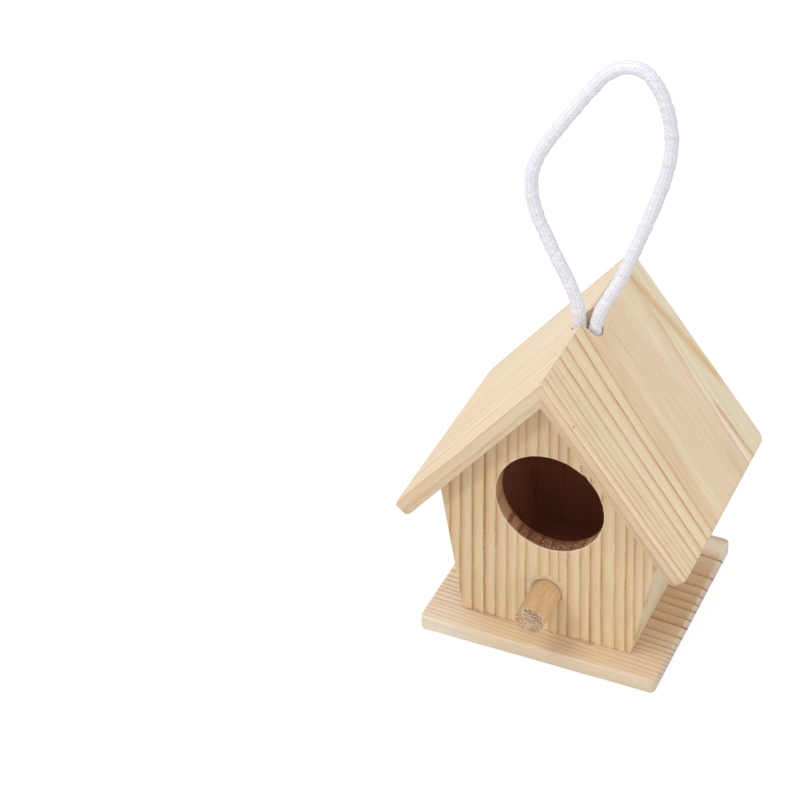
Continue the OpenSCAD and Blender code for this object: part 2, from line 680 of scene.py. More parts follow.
@dataclass(frozen=True)
class Bore:
    """A round hole cut through a board: its browned wall, and its rim of pale torn fibres with a painted
    highlight on the eased edge.
    """

    along: float
    across: float
    radius: float
    wood: str = "e6d0aa"
    shade: str = "f4d4bf"
    burnt: str = "844a36"
    pit: str = "4d2a18"
    crumb: str = "e9d8c4"
    rim: str = "fdeedb"

    def wear_and_painted_light(self, wood: Wood, colour: Signal) -> Signal:
        """Colours the wood on the hole's wall and rim.

        Args:
            wood: The point in the board.
            colour: The board's own colour.

        Returns:
            The colour of the worn hole, with its painted light.
        """
        bench, deep = wood.bench, wood.deep
        up, side = wood.along - self.along, wood.across - self.across
        away = (up * up + side * side) ** 0.5
        wall = (1.0 - away.ramp(self.radius + 0.1, self.radius + 0.35)) * deep.ramp(0.3, 0.9)
        colour = bench.mix(wall, colour, self._wall(wood, colour))
        # The pale rim is torn fibres and a painted highlight on the eased edge.
        fuzz = bench.cloud(wood.point, 0.6, 2.0, 0.6)
        rim = (away - (self.radius + 0.2)).inside(0.22, 0.14) * (1.0 - deep.ramp(0.2, 0.5))
        return bench.mix(rim * (0.42 + fuzz * 1.1), colour, linear(self.rim))

    def _wall(self, wood: Wood, colour: Signal) -> Signal:
        """Colours the hole's wall: painted light where it runs with the grain, torn and darker where it
        cuts across it.

        Args:
            wood: The point in the board.
            colour: The board's own colour.

        Returns:
            The wall's colour.
        """
        bench, facing = wood.bench, wood.facing
        along, across, deep = wood.point
        torn = bench.noise((along / 0.8, across / 0.8, deep / 2.4), 3.0, 0.65)
        broad = bench.noise((along / 3.0, across / 1.6, deep / 9), 2.0, 0.6)
        cut = facing.ramp(0.3, 0.8)
        worn = bench.mix((1.0 - cut) * 0.8, colour, linear(self.wood))
        worn = bench.multiplied(worn, linear(self.shade))
        # Painted light on the side-grain part of the wall, which the lamps leave darker; the end grain at
        # the bottom is darkened.
        side_light_end_dark = (1.0 - facing.ramp(0.05, 0.35)) * 0.5 - facing.ramp(0.8, 1.0) * 0.2
        worn = bench.scaled(worn, 1.0 + torn * (0.35 + cut * 0.8) + side_light_end_dark)
        rings = wood.late + wood.halo
        streaks = (rings * 1.2 + broad * 1.5 + torn * 0.3).ramp(0.32, 0.72) * (0.34 + cut * 0.46)
        worn = bench.mix(streaks, worn, linear(self.burnt))
        pits = (torn * -1.0 - 0.1 * broad).ramp(0.17, 0.3) * cut * 0.6
        worn = bench.mix(pits, worn, linear(self.pit))
        # Pale specks on the end-grain floor of the hole: torn crumbs and painted glints.
        crumbs = torn.ramp(0.17, 0.3) * facing.ramp(0.7, 0.95) * 0.7
        return bench.mix(crumbs, worn, linear(self.crumb))


@dataclass(frozen=True)
class Tones:
    """The colours of one board, and what its end grain and narrow sides are multiplied by. On the roof
    boards the narrow sides' factors are painted shade, darker towards the underside.
    """

    early: str
    shade: str
    amber: str
    late: str
    end: Triple = (0.687, 0.672, 0.723)
    side: Triple = WHITE
    under: Triple = WHITE
    canal: str = "b08a63"
    end_line: str = "74483a"
    scorch: str = "6a4c50"


@dataclass(frozen=True)
class PineFinish:
    """Sanded, unfinished pine, cut from its own place in the tree.

    Fibre and dashes are how strong the fine streaks and the resin canals are, and amber_share and
    late_share how strong the warm wood and the dark line of each ring. End_plain pales end grain
    and end_dark darkens its rings. Side_plain pales the rings on the narrow sides and side_rough
    makes those uneven. Burn scorches the sawn arris.
    """

    name: str
    cut: Cut
    growth: Growth
    tones: Tones
    streaks: tuple[Streak, ...] = ()
    room: RoomShade | None = None
    bore: Bore | None = None
    fibre: float = 0.19
    cloud: float = 1.1
    dashes: float = 0.5
    amber_share: float = 0.75
    late_share: float = 0.9
    end_plain: float = 0.3
    end_dark: float = 0.0
    side_plain: float = 0.2
    side_rough: float = 0.0
    burn: float = 0.0
    seed: float = 0.0

    def material(self) -> bpy.types.Material:
        """Makes the material of this board.

        Returns:
            The material.
        """
        bench = Bench.of(self.name)
        start = tuple(-c * MM for c in self.cut.origin)
        moved = bench.node("ShaderNodeVectorMath", {"operation": "ADD"}, {0: bench.place(), 1: start})
        ways = (self.cut.along, self.cut.across, self.cut.deep)
        along, across, deep = (bench.dot(moved, tuple(c / MM for c in way)) for way in ways)
        grain = Grain(bench, along, across, deep, self.seed)
        fibres = grain.noise(14, 0.42, 3.0, 0.6) * 0.7 + grain.noise(34, 1.6, 2.0) * 0.5
        pores = bench.noise((along / 3.0, across / 0.35, deep / 0.35), 3.0, 0.7)
        facing = abs(bench.dot(bench.normal(), self.cut.along))
        end = facing.ramp(0.55, 0.9)
        rings = self.growth.near(grain)
        wood = Wood(bench, along, across, deep, self.seed, *rings, fibres, pores, facing, end)
        roughness = 0.66 + fibres * 0.12 - wood.late * 0.08 + end * 0.12
        height = fibres * 0.10 + wood.late * 0.03 + end * pores * 0.35
        return bench.finish(self._colour(wood), roughness, height)

    def _colour(self, wood: Wood) -> Signal:
        """Puts the board's colour together.

        Args:
            wood: The point in the board.

        Returns:
            The colour.
        """
        bench, tones = wood.bench, self.tones
        side = abs(bench.dot(bench.normal(), self.cut.across)).ramp(0.6, 0.95)
        colour = self._long_grain(wood, side)
        ends = self._end_grain(wood, colour)
        # On the roof boards this tint is painted shade on the narrow sides, darker towards the underside.
        if tones.side != WHITE:
            tint = bench.mix(wood.deep / SIZES.board, (*tones.side, 1.0), (*tones.under, 1.0))
            tinted = bench.multiplied(colour, tint)
            if self.side_rough > 0:
                chatter = bench.noise((wood.along / 1.3, wood.across, wood.deep / 0.9), 3.0, 0.65)
                tinted = bench.scaled(tinted, 1.0 + chatter * self.side_rough)
            colour = bench.mix(side, colour, tinted)
        colour = bench.mix(wood.end, colour, ends)
        if self.burn > 0:
            arris = wood.facing.ramp(0.15, 0.5) * (1.0 - wood.facing.ramp(0.9, 0.99))
            dark = (wood.late * 1.1 + wood.halo * 0.35 + wood.pores * 0.5).ramp(0.5, 0.95)
            colour = bench.mix(arris * dark * self.burn, colour, linear(tones.scorch))
        if self.bore is not None:
            colour = self.bore.wear_and_painted_light(wood, colour)
        # Painted shade on the faces inside the house.
        if self.room is not None:
            colour = self.room.paint_room_shade(wood, colour, tones.early)
        return colour

    def _long_grain(self, wood: Wood, side: Signal) -> Signal:
        """Colours the wood by its rings, streaks and fibres.

        Args:
            wood: The point in the board.
            side: 1 on the board's narrow sides.

        Returns:
            The colour.
        """
        bench, tones = wood.bench, self.tones
        cloud = 0.5 + wood.noise(40, 9, 2.0) * self.cloud
        colour = bench.mix(cloud, linear(tones.early), linear(tones.shade))
        for streak in (s for s in self.streaks if not s.over):
            colour = streak.paint(wood, colour)
        strength = 1.0 - side * self.side_plain
        colour = bench.mix(wood.halo * self.amber_share * strength, colour, linear(tones.amber))
        colour = bench.mix(wood.late * self.late_share * strength, colour, linear(tones.late))
        for streak in (s for s in self.streaks if s.over):
            colour = streak.paint(wood, colour)
        colour = bench.scaled(colour, 1.0 + wood.fibres * self.fibre * 2.0 + wood.glint * 0.07)
        canals = wood.noise(2.6, 0.22, 1.0).ramp(0.21, 0.3) * self.dashes
        return bench.mix(canals, colour, bench.multiplied(colour, linear(tones.canal)))

    def _end_grain(self, wood: Wood, colour: Signal) -> Signal:
        """Colours the ends of the fibres.

        Args:
            wood: The point in the board.
            colour: The colour of the long grain.

        Returns:
            The colour of the end grain.
        """
        bench, tones = wood.bench, self.tones
        ends = bench.mix(self.end_plain, colour, linear(tones.early))
        lines = (wood.late * 1.9 + wood.halo * 0.6 - 0.4).at_least(0.0).at_most(1.0)
        ends = bench.mix(lines * self.end_dark, ends, linear(tones.end_line))
        ends = bench.multiplied(ends, (*tones.end, 1.0))
        return bench.scaled(ends, 1.0 + wood.pores * 0.8)


@dataclass(frozen=True)
class DowelFinish:
    """A sanded birch dowel: fine streaks along it and a porous grey end."""

    name: str = "perch_wood"
    side: str = "cda574"
    pale: str = "dfbf93"
    line: str = "a67b4c"
    end: str = "b38f6e"
    fleck: str = "e4c9a6"
    pore: str = "7b5c44"

    def material(self) -> bpy.types.Material:
        """Makes the dowel's material.

        Returns:
            The material.
        """
        bench = Bench.of(self.name)
        x, y, z = bench.millimetres()
        up = z - SIZES.perch_height
        streaks = bench.noise((x / 0.5, y / 9, z / 0.5), 3.0, 0.75)
        bands = bench.noise((x / 2.6, y / 30 + 4.0, z / 2.6), 2.0)
        colour = bench.mix(0.5 + streaks * 3.6 + bands * 1.6, linear(self.side), linear(self.pale))
        lines = bench.noise((x / 0.34 + 3.0, y / 7, z / 0.34), 2.0).ramp(0.08, 0.24)
        colour = bench.mix(lines * 0.8, colour, linear(self.line))
        # Painted light: the dowel grows paler towards its right side, as if lit more from the right.
        colour = bench.scaled(colour, 0.97 + x * 0.036)
        end = (-bench.dot(bench.normal(), (0.0, 1.0, 0.0))).ramp(0.6, 0.9)
        speckle = bench.noise((x / 0.62, y, z / 0.62), 3.0, 0.72)
        patch = bench.noise((x / 3.4 + 5.0, y, z / 3.4), 1.0)
        rings = ((x * 0.55 + up * 0.8 + patch * 6.0) * 4.2).sine() * 0.5 + 0.5
        share = 0.42 + speckle * 3.0 + (rings - 0.5) * 0.65 + patch * 1.2
        face = bench.mix(share, linear(self.end), linear(self.fleck))
        dark = (x * 0.11 + up * 0.13 + 0.15).at_least(0.0).at_most(0.6)
        holes = (dark * 0.45 - speckle - rings * 0.06).ramp(0.2, 0.36)
        face = bench.mix(holes * 0.7, face, linear(self.pore))
        colour = bench.mix(end, colour, face)
        height = streaks * 0.08 * (1.0 - end) + end * (speckle * 0.2 - holes * 0.15)
        return bench.finish(colour, 0.6 + end * 0.15, height)


@dataclass(frozen=True)
class CottonFinish:
    """White braided cotton: each stitch shows its twisted threads, with painted shade in the grooves
    between stitches.
    """

    name: str = "cotton_braid"
    light: str = "fefdff"
    shade: str = "f7f5fd"
    gap_shade: str = "e9e7f3"
    sheen: str = "eceaff"
    strands: int = 10

    def material(self) -> bpy.types.Material:
        """Makes the rope's material from its map of turns round and along.

        Returns:
            The material.
        """
        bench = Bench.of(self.name)
        lay = bench.node("ShaderNodeUVMap", {"uv_map": "lay"})
        turn, run = (bench.dot(lay, axis) for axis in ((1.0, 0.0, 0.0), (0.0, 1.0, 0.0)))
        right, left = (turn + run) * self.strands, (turn - run) * self.strands
        column = turn * self.strands
        odd = ((column / 2.0).fraction()).above(0.5)
        stitch = right.fraction() * (1.0 - odd) + left.fraction() * odd
        within = column.fraction()
        crown = (stitch * math.pi).sine() * (within * math.pi).sine()
        threads = (stitch * (4 * math.pi) + within * 2.0).sine()
        place = bench.millimetres()
        cloud = bench.cloud(place, 3.2, 3.0, 0.6)
        fluff = bench.cloud(place, 0.35, 2.0, 0.6)
        colour = bench.mix(0.62 + cloud * 1.5, linear(self.shade), linear(self.light))
        # Painted shade where the braid's surface dips between stitches.
        colour = bench.mix(1.0 - crown.ramp(0.0, 0.42), colour, linear(self.gap_shade))
        colour = bench.scaled(colour, 1.0 + threads * 0.015 + fluff * 0.06)
        height = threads * 0.02 + fluff * 0.07
        soft = {"Sheen Weight": 0.9, "Sheen Roughness": 0.6, "Sheen Tint": linear(self.sheen)}
        return bench.finish(colour, 0.9, height, soft | {"Specular IOR Level": 0.25})


@dataclass(frozen=True)
class GlueFinish:
    """Dried wood glue, faintly glossy and yellowish, with painted shade where it meets the perch."""

    name: str
    tone: str
    deep: str
    round_perch: bool = False
    crease: str = "8c6642"

    def material(self) -> bpy.types.Material:
        """Makes the glue's material.

        Returns:
            The material.
        """
        bench = Bench.of(self.name)
        x, y, z = bench.millimetres()
        cloud = bench.cloud((x, y, z), 1.6, 3.0, 0.6)
        colour = bench.mix(0.5 + cloud * 2.4, linear(self.deep), linear(self.tone))
        if self.round_perch:
            rise = z - SIZES.perch_height
            away = (x * x + rise * rise) ** 0.5
            # Painted shade beside the dowel, where the glue ring meets it.
            shade = (1.0 - away.ramp(SIZES.perch + 0.1, SIZES.perch + 0.8)) * (0.62 + cloud * 0.8)
            colour = bench.mix(shade, colour, linear(self.crease))
        return bench.finish(colour, 0.42 + cloud * 0.3, cloud * 0.2)


@dataclass(frozen=True)
class FluffFinish:
    """Torn pale wood fibres."""

    name: str = "torn_fibres"
    light: str = "f4e6cc"
    dark: str = "c79f6f"

    def material(self) -> bpy.types.Material:
        """Makes the fibres' material.

        Returns:
            The material.
        """
        bench = Bench.of(self.name)
        cloud = bench.cloud(bench.millimetres(), 0.8, 2.0)
        colour = bench.mix(0.65 + cloud * 2.2, linear(self.dark), linear(self.light))
        return bench.finish(colour, 0.8)


# == Meshes ==


@dataclass
class Solid:
    """Points in millimetres and faces of one mesh, gathered part by part."""

    points: list[np.ndarray] = field(default_factory=list)
    faces: list[tuple[int, ...]] = field(default_factory=list)
    maps: list[list[tuple[float, float]]] = field(default_factory=list)
    count: int = 0

    def add(self, points: np.ndarray) -> int:
        """Adds points.

        Args:
            points: Rows of x, y and z.

        Returns:
            The number of the first one.
        """
        first = self.count
        self.points.append(np.asarray(points, float))
        self.count += len(points)
        return first

    def band(self, low: int, high: int, size: int) -> None:
        """Joins two rings of points with faces.

        Args:
            low: The first ring's first point.
            high: The second ring's first point.
            size: How many points each has.
        """
        for k in range(size):
            after = (k + 1) % size
            self.faces.append((low + k, low + after, high + after, high + k))

    def bead(self, rings: Sequence[np.ndarray], closed: bool) -> None:
        """Adds a ribbon through rings of points.

        Args:
            rings: The ribbon's sections in order.
            closed: Whether the last is joined to the first. Otherwise both ends are capped.
        """
        size = len(rings[0])
        starts = [self.add(ring) for ring in rings]
        for low, high in zip(starts[:-1], starts[1:]):
            self.band(low, high, size)
        if closed:
            self.band(starts[-1], starts[0], size)
        else:
            self.faces += [tuple(range(end, end + size)) for end in (starts[0], starts[-1])]

    def sliver(self, start: np.ndarray, end: np.ndarray, width: float, sag: np.ndarray) -> None:
        """Adds a thin fibre with two sharp ends.

        Args:
            start: One end.
            end: The other.
            width: Its width in the middle.
            sag: How far its middle is bent aside.
        """
        along = end - start
        along = along / np.linalg.norm(along)
        first = np.cross(along, [0.31, 0.22, 0.92])
        first /= np.linalg.norm(first)
        second = np.cross(along, first)
        turns = [0.0, 2.1, 4.2]
        belts = []
        for share, size in ((0.3, 0.8), (0.62, 1.0)):
            middle = start + (end - start) * share + sag * (share if share < 0.5 else 1.0)
            round_it = [first * math.cos(t) + second * math.sin(t) for t in turns]
            belts.append(self.add(middle + np.array(round_it) * width * size / 2))
        tips = (self.add(start[None]), self.add(end[None]))
        self.band(belts[0], belts[1], 3)
        for tip, belt in zip(tips, belts):
            self.faces += [(tip, belt + k, belt + (k + 1) % 3) for k in range(3)]

    def piece(self, name: str, material: bpy.types.Material, sharp: float) -> bpy.types.Object:
        """Makes the Blender object, its faces turned outward.

        Args:
            name: The piece's name.
            material: Its material.
            sharp: Edges that turn by more degrees than this stay sharp.

        Returns:
            The object, linked to the scene.
        """
        mesh = bpy.data.meshes.new(name)
        mesh.from_pydata((np.concatenate(self.points) * MM).tolist(), [], self.faces)
        if self.maps:
            layer = mesh.uv_layers.new(name="lay")
            flat = [c for corners in self.maps for uv in corners for c in uv]
            layer.data.foreach_set("uv", flat)
        body = bmesh.new()
        body.from_mesh(mesh)
        bmesh.ops.recalc_face_normals(body, faces=body.faces)
        body.to_mesh(mesh)
        body.free()
        mesh.materials.append(material)
        mesh.shade_smooth()
        mesh.set_sharp_from_angle(angle=math.radians(sharp))
        return placed(name, mesh)


def seat(thing: bpy.types.Object, slot: Slot, *nodes: str) -> bpy.types.Object:
    """Fixes a finished piece to the house.

    Args:
        thing: The piece.
        slot: The record's slot that it stands for; it is only logged.
        nodes: The CAD nodes that it stands for.

    Returns:
        The piece.
    """
    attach(thing, ROOT_BODY)
    if nodes:
        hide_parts(*nodes)
    log.info("%s: %d faces, %s", thing.name, len(thing.data.polygons), slot.value)
    return thing


def stick(body: Solid, finish: GlueFinish | FluffFinish) -> None:
    """Fixes a mesh of glue or fibres to the house, under its finish's name."""
    seat(body.piece(finish.name, finish.material(), SHARP_GLUE), Slot.PINE)


def inward(loop: np.ndarray) -> np.ndarray:
    """Finds which way each point of a closed loop moves to inset it by one unit.

    Args:
        loop: The points, with the wood on the left of the way round.

    Returns:
        One vector for each point, longer at sharp corners.
    """
    ahead = np.roll(loop, -1, 0) - loop
    ahead /= np.linalg.norm(ahead, axis=1, keepdims=True)
    left = np.stack([-ahead[:, 1], ahead[:, 0]], 1)
    before = np.roll(left, 1, 0)
    middle = left + before
    middle /= np.linalg.norm(middle, axis=1, keepdims=True)
    return middle / np.clip((middle * left).sum(1, keepdims=True), 0.5, 1)


def rounded(corners: Sequence[Triple], step: float, finer: float = 0.55, least: int = 3) -> np.ndarray:
    """Makes a closed outline with round corners and evenly spaced points.

    Args:
        corners: x, y and radius of each corner, counterclockwise.
        step: The largest distance between two points.
        finer: The share of it on a round corner.
        least: The fewest steps round a corner.

    Returns:
        The outline's points.
    """
    path: list[np.ndarray] = []
    points = [np.array(c[:2], float) for c in corners]
    for i, (_, _, radius) in enumerate(corners):
        here, before, after = points[i], points[i - 1], points[(i + 1) % len(points)]
        back, on = before - here, after - here
        back /= np.linalg.norm(back)
        on /= np.linalg.norm(on)
        if radius <= 0:
            path.append(here)
            continue
        half = math.acos(float(np.clip(back @ on, -1, 1))) / 2
        reach = radius / math.tan(half)
        toward = (back + on) / np.linalg.norm(back + on)
        centre = here + toward * radius / math.sin(half)
        first, last = here + back * reach - centre, here + on * reach - centre
        angle = math.atan2(first[0] * last[1] - first[1] * last[0], first @ last)
        turns = max(least, math.ceil(abs(angle) * radius / (step * finer)))
        for k in range(turns + 1):
            a = angle * k / turns
            c, s = math.cos(a), math.sin(a)
            path.append(centre + np.array([c * first[0] - s * first[1], s * first[0] + c * first[1]]))
    out: list[np.ndarray] = []
    for here, after in zip(path, path[1:] + path[:1]):
        parts = max(1, math.ceil(np.linalg.norm(after - here) / step))
        out += [here + (after - here) * k / parts for k in range(parts)]
    return np.array(out)


def circle(x: float, y: float, radius: float, step: float) -> np.ndarray:
    """Makes the outline of a round hole, clockwise.

    Args:
        x: Its middle, left to right.
        y: Its middle, up.
        radius: Its radius.
        step: The distance between two points.

    Returns:
        The outline's points.
    """
    count = math.ceil(2 * math.pi * radius / step)
    turn = -2 * np.pi * np.arange(count) / count
    return np.stack([x + radius * np.cos(turn), y + radius * np.sin(turn)], 1)


def within(points: np.ndarray, loop: np.ndarray) -> np.ndarray:
    """Tells which points lie in a closed loop.

    Args:
        points: The points.
        loop: The loop.

    Returns:
        True for each point inside.
    """
    x, y = points[:, :1], points[:, 1:]
    a, b = loop, np.roll(loop, -1, 0)
    rise = np.where(b[:, 1] == a[:, 1], 1e-12, b[:, 1] - a[:, 1])
    spans = (a[:, 1] > y) != (b[:, 1] > y)
    hits = spans & (x < (b[:, 0] - a[:, 0]) * (y - a[:, 1]) / rise + a[:, 0])
    return hits.sum(1) % 2 == 1


def in_wood(points: np.ndarray, loops: Sequence[np.ndarray]) -> np.ndarray:
    """Tells which points lie in an outline and in none of its holes.

    Args:
        points: The points.
        loops: The outline and each hole.

    Returns:
        True for each point in the wood.
    """
    keep = within(points, loops[0])
    for hole in loops[1:]:
        keep &= ~within(points, hole)
    return keep


def ripple(values: np.ndarray | float, length: float, seed: int) -> np.ndarray:
    """Adds up waves into a smooth irregular line around 0.

    Args:
        values: Where it is read.
        length: The longest wave.
        seed: The seed of the waves.

    Returns:
        The line, mostly from -1 to 1.
    """
    rng = np.random.default_rng(seed)
    total = np.zeros_like(np.asarray(values, float))
    for k in range(RIPPLE_WAVES):
        size = length / (1 + 0.8 * k)
        total += np.sin(2 * np.pi * values / size + rng.uniform(0, 2 * np.pi)) / (1 + 0.5 * k)
    return total / 2.2


def uneven(values: np.ndarray | float, *lines: tuple[float, float, int]) -> np.ndarray:
    """Adds up irregular lines, each given by its strength, longest wave and seed."""
    return sum(strength * ripple(values, length, seed) for strength, length, seed in lines)


def rectangle(low: Sequence[float], high: Sequence[float], radius: float = 0.0) -> list[Triple]:
    """The corners of a rectangle, each as x, y and radius, counterclockwise."""
    sides = ((low[0], low[1]), (high[0], low[1]), (high[0], high[1]), (low[0], high[1]))
    return [(x, y, radius) for x, y in sides]


def bead_ring(
    section: Sequence[tuple[float, float]], at: Sequence[float], out: Sequence[float], up: Sequence[float]
) -> np.ndarray:
    """Places a section of a bead of glue, given as shares of its width out and height up."""
    shares = np.array(section)
    return np.asarray(at) + np.outer(shares[:, 0], out) + np.outer(shares[:, 1], up)


@dataclass
class Board:
    """A flat board with eased edges. A subclass gives its outline and lays it in place.

    Lip is the level rim inside the rounding. The faces are filled with a triangular grid of
    points: spread is its spacing, row, jitter and clear are shares of that, and hollow is how far
    the face dips.
    """

    name: str
    node: str
    finish: PineFinish
    thickness: float = SIZES.board
    step: float = 1.2
    lip: float = 0.45
    spread: float = 2.6
    row: float = 0.87
    jitter: float = 0.25
    clear: float = 0.6
    hollow: float = 0.04
    seed: int = 1

    def loops(self) -> list[np.ndarray]:
        """The outline, counterclockwise, and then each hole, clockwise."""
        raise NotImplementedError

    def ease(self, loop: np.ndarray) -> np.ndarray:
        """The edge's rounding at each point of an outline."""
        raise NotImplementedError

    def lay(self, plane: np.ndarray, depth: np.ndarray) -> np.ndarray:
        """Where points of the board's plane lie at a depth under its face."""
        raise NotImplementedError

    def run(self, loop: np.ndarray) -> np.ndarray:
        """About how far round an outline each of its points lies."""
        return np.arange(len(loop)) * self.step

    def section(self, ease: np.ndarray) -> tuple[list[np.ndarray], list[np.ndarray]]:
        """Follows the board's edge from its face to its back.

        Args:
            ease: The rounding at each point of the outline.

        Returns:
            How far in and how deep each ring of points lies.
        """
        arc = [math.pi / 2 * k / 3 for k in range(4)]
        inset = [ease + self.lip] + [ease * (1 - math.sin(a)) for a in arc]
        depth = [0 * ease] + [ease * (1 - math.cos(a)) for a in arc]
        straight = [ease + (self.thickness - 2 * ease) * share for share in (0.33, 0.67)]
        deep = [self.thickness - d for d in reversed(depth)]
        return inset + [0 * ease] * 2 + inset[::-1], depth + straight + deep

    def build(self) -> None:
        """Makes the board and fixes it to the house."""
        body = Solid()
        fronts: list[tuple[int, np.ndarray]] = []
        backs: list[tuple[int, np.ndarray]] = []
        for loop in self.loops():
            way = inward(loop)
            rings = []
            for inset, depth in zip(*self.section(self.ease(loop))):
                plane = loop + way * inset[:, None]
                rings.append((body.add(self.lay(plane, depth)), plane))
            for (low, _), (high, _) in zip(rings[:-1], rings[1:]):
                body.band(low, high, len(loop))
            fronts.append(rings[0])
            backs.append(rings[-1])
        self._face(body, fronts, 0.0, 1)
        self._face(body, backs, self.thickness, -1)
        seat(body.piece(self.name, self.finish.material(), SHARP_WOOD), Slot.PINE, self.node)

    def _face(self, body: Solid, rims: list[tuple[int, np.ndarray]], depth: float, sign: int) -> None:
        """Closes the board's face or back with triangles.

        Args:
            body: The mesh.
            rims: For each loop, its first point's number and its place in the plane.
            depth: How deep the face lies.
            sign: 1 on the face and -1 on the back, for the slight hollow.
        """
        loops = [plane for _, plane in rims]
        grid = self._grid(loops, self.seed + (sign > 0))
        waves = ripple(grid[:, 0], 31, self.seed) * ripple(grid[:, 1], 43, self.seed + 5)
        dip = self.hollow * (1 + waves)
        first = body.add(self.lay(grid, depth + sign * dip))
        numbers: list[int] = []
        sides: list[tuple[int, int]] = []
        for start, plane in rims:
            offset, size = len(numbers), len(plane)
            numbers += range(start, start + size)
            sides += [(offset + k, offset + (k + 1) % size) for k in range(size)]
        numbers += range(first, first + len(grid))
        flat = np.concatenate([*loops, grid])
        _, _, faces, origins, _, _ = delaunay_2d_cdt([Vector(p) for p in flat.tolist()], sides, [], 1, 1e-6)
        faces = [[origins[v][0] for v in face] for face in faces]
        keep = in_wood(np.array([flat[face].mean(0) for face in faces]), loops)
        body.faces += [tuple(numbers[v] for v in face) for face, kept in zip(faces, keep) if kept]

    def _grid(self, loops: list[np.ndarray], seed: int) -> np.ndarray:
        """Scatters a triangular grid of points over the wood.

        Args:
            loops: The outline and each hole.
            seed: The seed of the scatter.

        Returns:
            The points that lie in the wood and clear of the loops.
        """
        rng = np.random.default_rng(seed)
        rim = np.concatenate(loops)
        low, high = rim.min(0), rim.max(0)
        grid = np.array([
            (x + self.spread / 2 * (i % 2), y)
            for i, y in enumerate(np.arange(low[1], high[1], self.spread * self.row))
            for x in np.arange(low[0], high[0], self.spread)
        ])
        grid = grid + rng.uniform(-self.jitter, self.jitter, (len(grid), 2)) * self.spread
        grid = grid[in_wood(grid, loops)]
        apart = np.linalg.norm(grid[:, None] - rim[None], axis=2).min(1)
        return grid[apart > self.spread * self.clear]


@dataclass
class BasePlate(Board):
    """The plate that the house stands on."""

    corner: float = 2.0
    edge: float = 0.8

    def loops(self) -> list[np.ndarray]:
        """A rectangle with round corners."""
        return [rounded(rectangle(*cad_box(self.node), self.corner), self.step)]

    def ease(self, loop: np.ndarray) -> np.ndarray:
        """Rounded by sanding, a little unevenly."""
        return self.edge * (1 + uneven(self.run(loop), (0.16, 37, self.seed)))

    def lay(self, plane: np.ndarray, depth: np.ndarray) -> np.ndarray:
        """Level, its face up."""
        return np.stack([plane[:, 0], plane[:, 1], self.thickness - depth + 0 * plane[:, 0]], 1)


@dataclass(frozen=True)
class Nick:
    """A chip out of the entrance's edge: where it is round the hole, how wide and how deep."""

    degrees: float
    width: float
    depth: float


@dataclass
class GableWall(Board):
    """A five-sided end wall. The front one has the entrance and the perch's hole."""

    open: bool = True
    edge: float = 0.32
    left_slope: float = 0.75
    left_reach: float = 55.0
    foot: float = 0.08
    rim: float = 0.3
    rim_step: float = 0.75
    perch_rim: float = 0.12
    perch_gap: float = 0.05
    perch_step: float = 0.8
    nicks: tuple[Nick, ...] = (
        Nick(51, 3.0, 0.7), Nick(-7, 2.2, 0.6), Nick(160, 2.0, 0.3), Nick(250, 3.5, 0.35),
    )

    def loops(self) -> list[np.ndarray]:
        """Draws the gable, and the holes of the front wall.

        Returns:
            The outline and each hole.
        """
        low, high = cad_box(self.node)
        eaves = high.z - high.x * math.tan(SIZES.angle)
        foot = [(-SIZES.foot_half, low.z, 0), (SIZES.foot_half, low.z, 0)]
        roof = [(high.x, eaves, 0), (0, high.z, 0), (low.x, eaves, 0)]
        found = [rounded(foot + roof, self.step)]
        if self.open:
            middle = np.array([0, SIZES.entrance_height])
            rim = circle(*middle, SIZES.entrance, self.rim_step) - middle
            turn = np.arctan2(rim[:, 1], rim[:, 0])
            rough = 1 + uneven(turn * SIZES.entrance, (0.0022, 9, 3))
            found.append(rim * rough[:, None] + middle)
            found.append(circle(0, SIZES.perch_height, SIZES.perch + self.perch_gap, self.perch_step))
        return found

    def ease(self, loop: np.ndarray) -> np.ndarray:
        """Eases the edges softly, and the entrance's rim rounder and chipped.

        Args:
            loop: The outline or a hole.

        Returns:
            The rounding at each point.
        """
        size = np.ptp(loop[:, 0])
        if size < 3 * SIZES.perch:
            return np.full(len(loop), self.perch_rim)
        if size > 2.5 * SIZES.entrance:
            foot = loop[:, 1] < loop[:, 1].min() + 0.1
            slope = (loop[:, 1] > loop[:, 1].max() - self.left_reach) & (loop[:, 0] < -1)
            rough = 1 + uneven(self.run(loop), (0.3, 23, self.seed))
            return np.where(foot, self.foot, np.where(slope, self.left_slope, self.edge) * rough)
        turn = np.degrees(np.arctan2(loop[:, 1] - SIZES.entrance_height, loop[:, 0]))
        ease = self.rim * (1 + uneven(turn, (0.4, 40, 8)))
        for nick in self.nicks:
            away = (turn - nick.degrees + 180) % 360 - 180
            ease += nick.depth * np.exp(-((away / nick.width) ** 2))
        return ease

    def lay(self, plane: np.ndarray, depth: np.ndarray) -> np.ndarray:
        """Upright, its face outward."""
        y = cad_box(self.node)[0].y + depth if self.open else cad_box(self.node)[1].y - depth
        return np.stack([plane[:, 0], y + 0 * plane[:, 0], plane[:, 1]], 1)


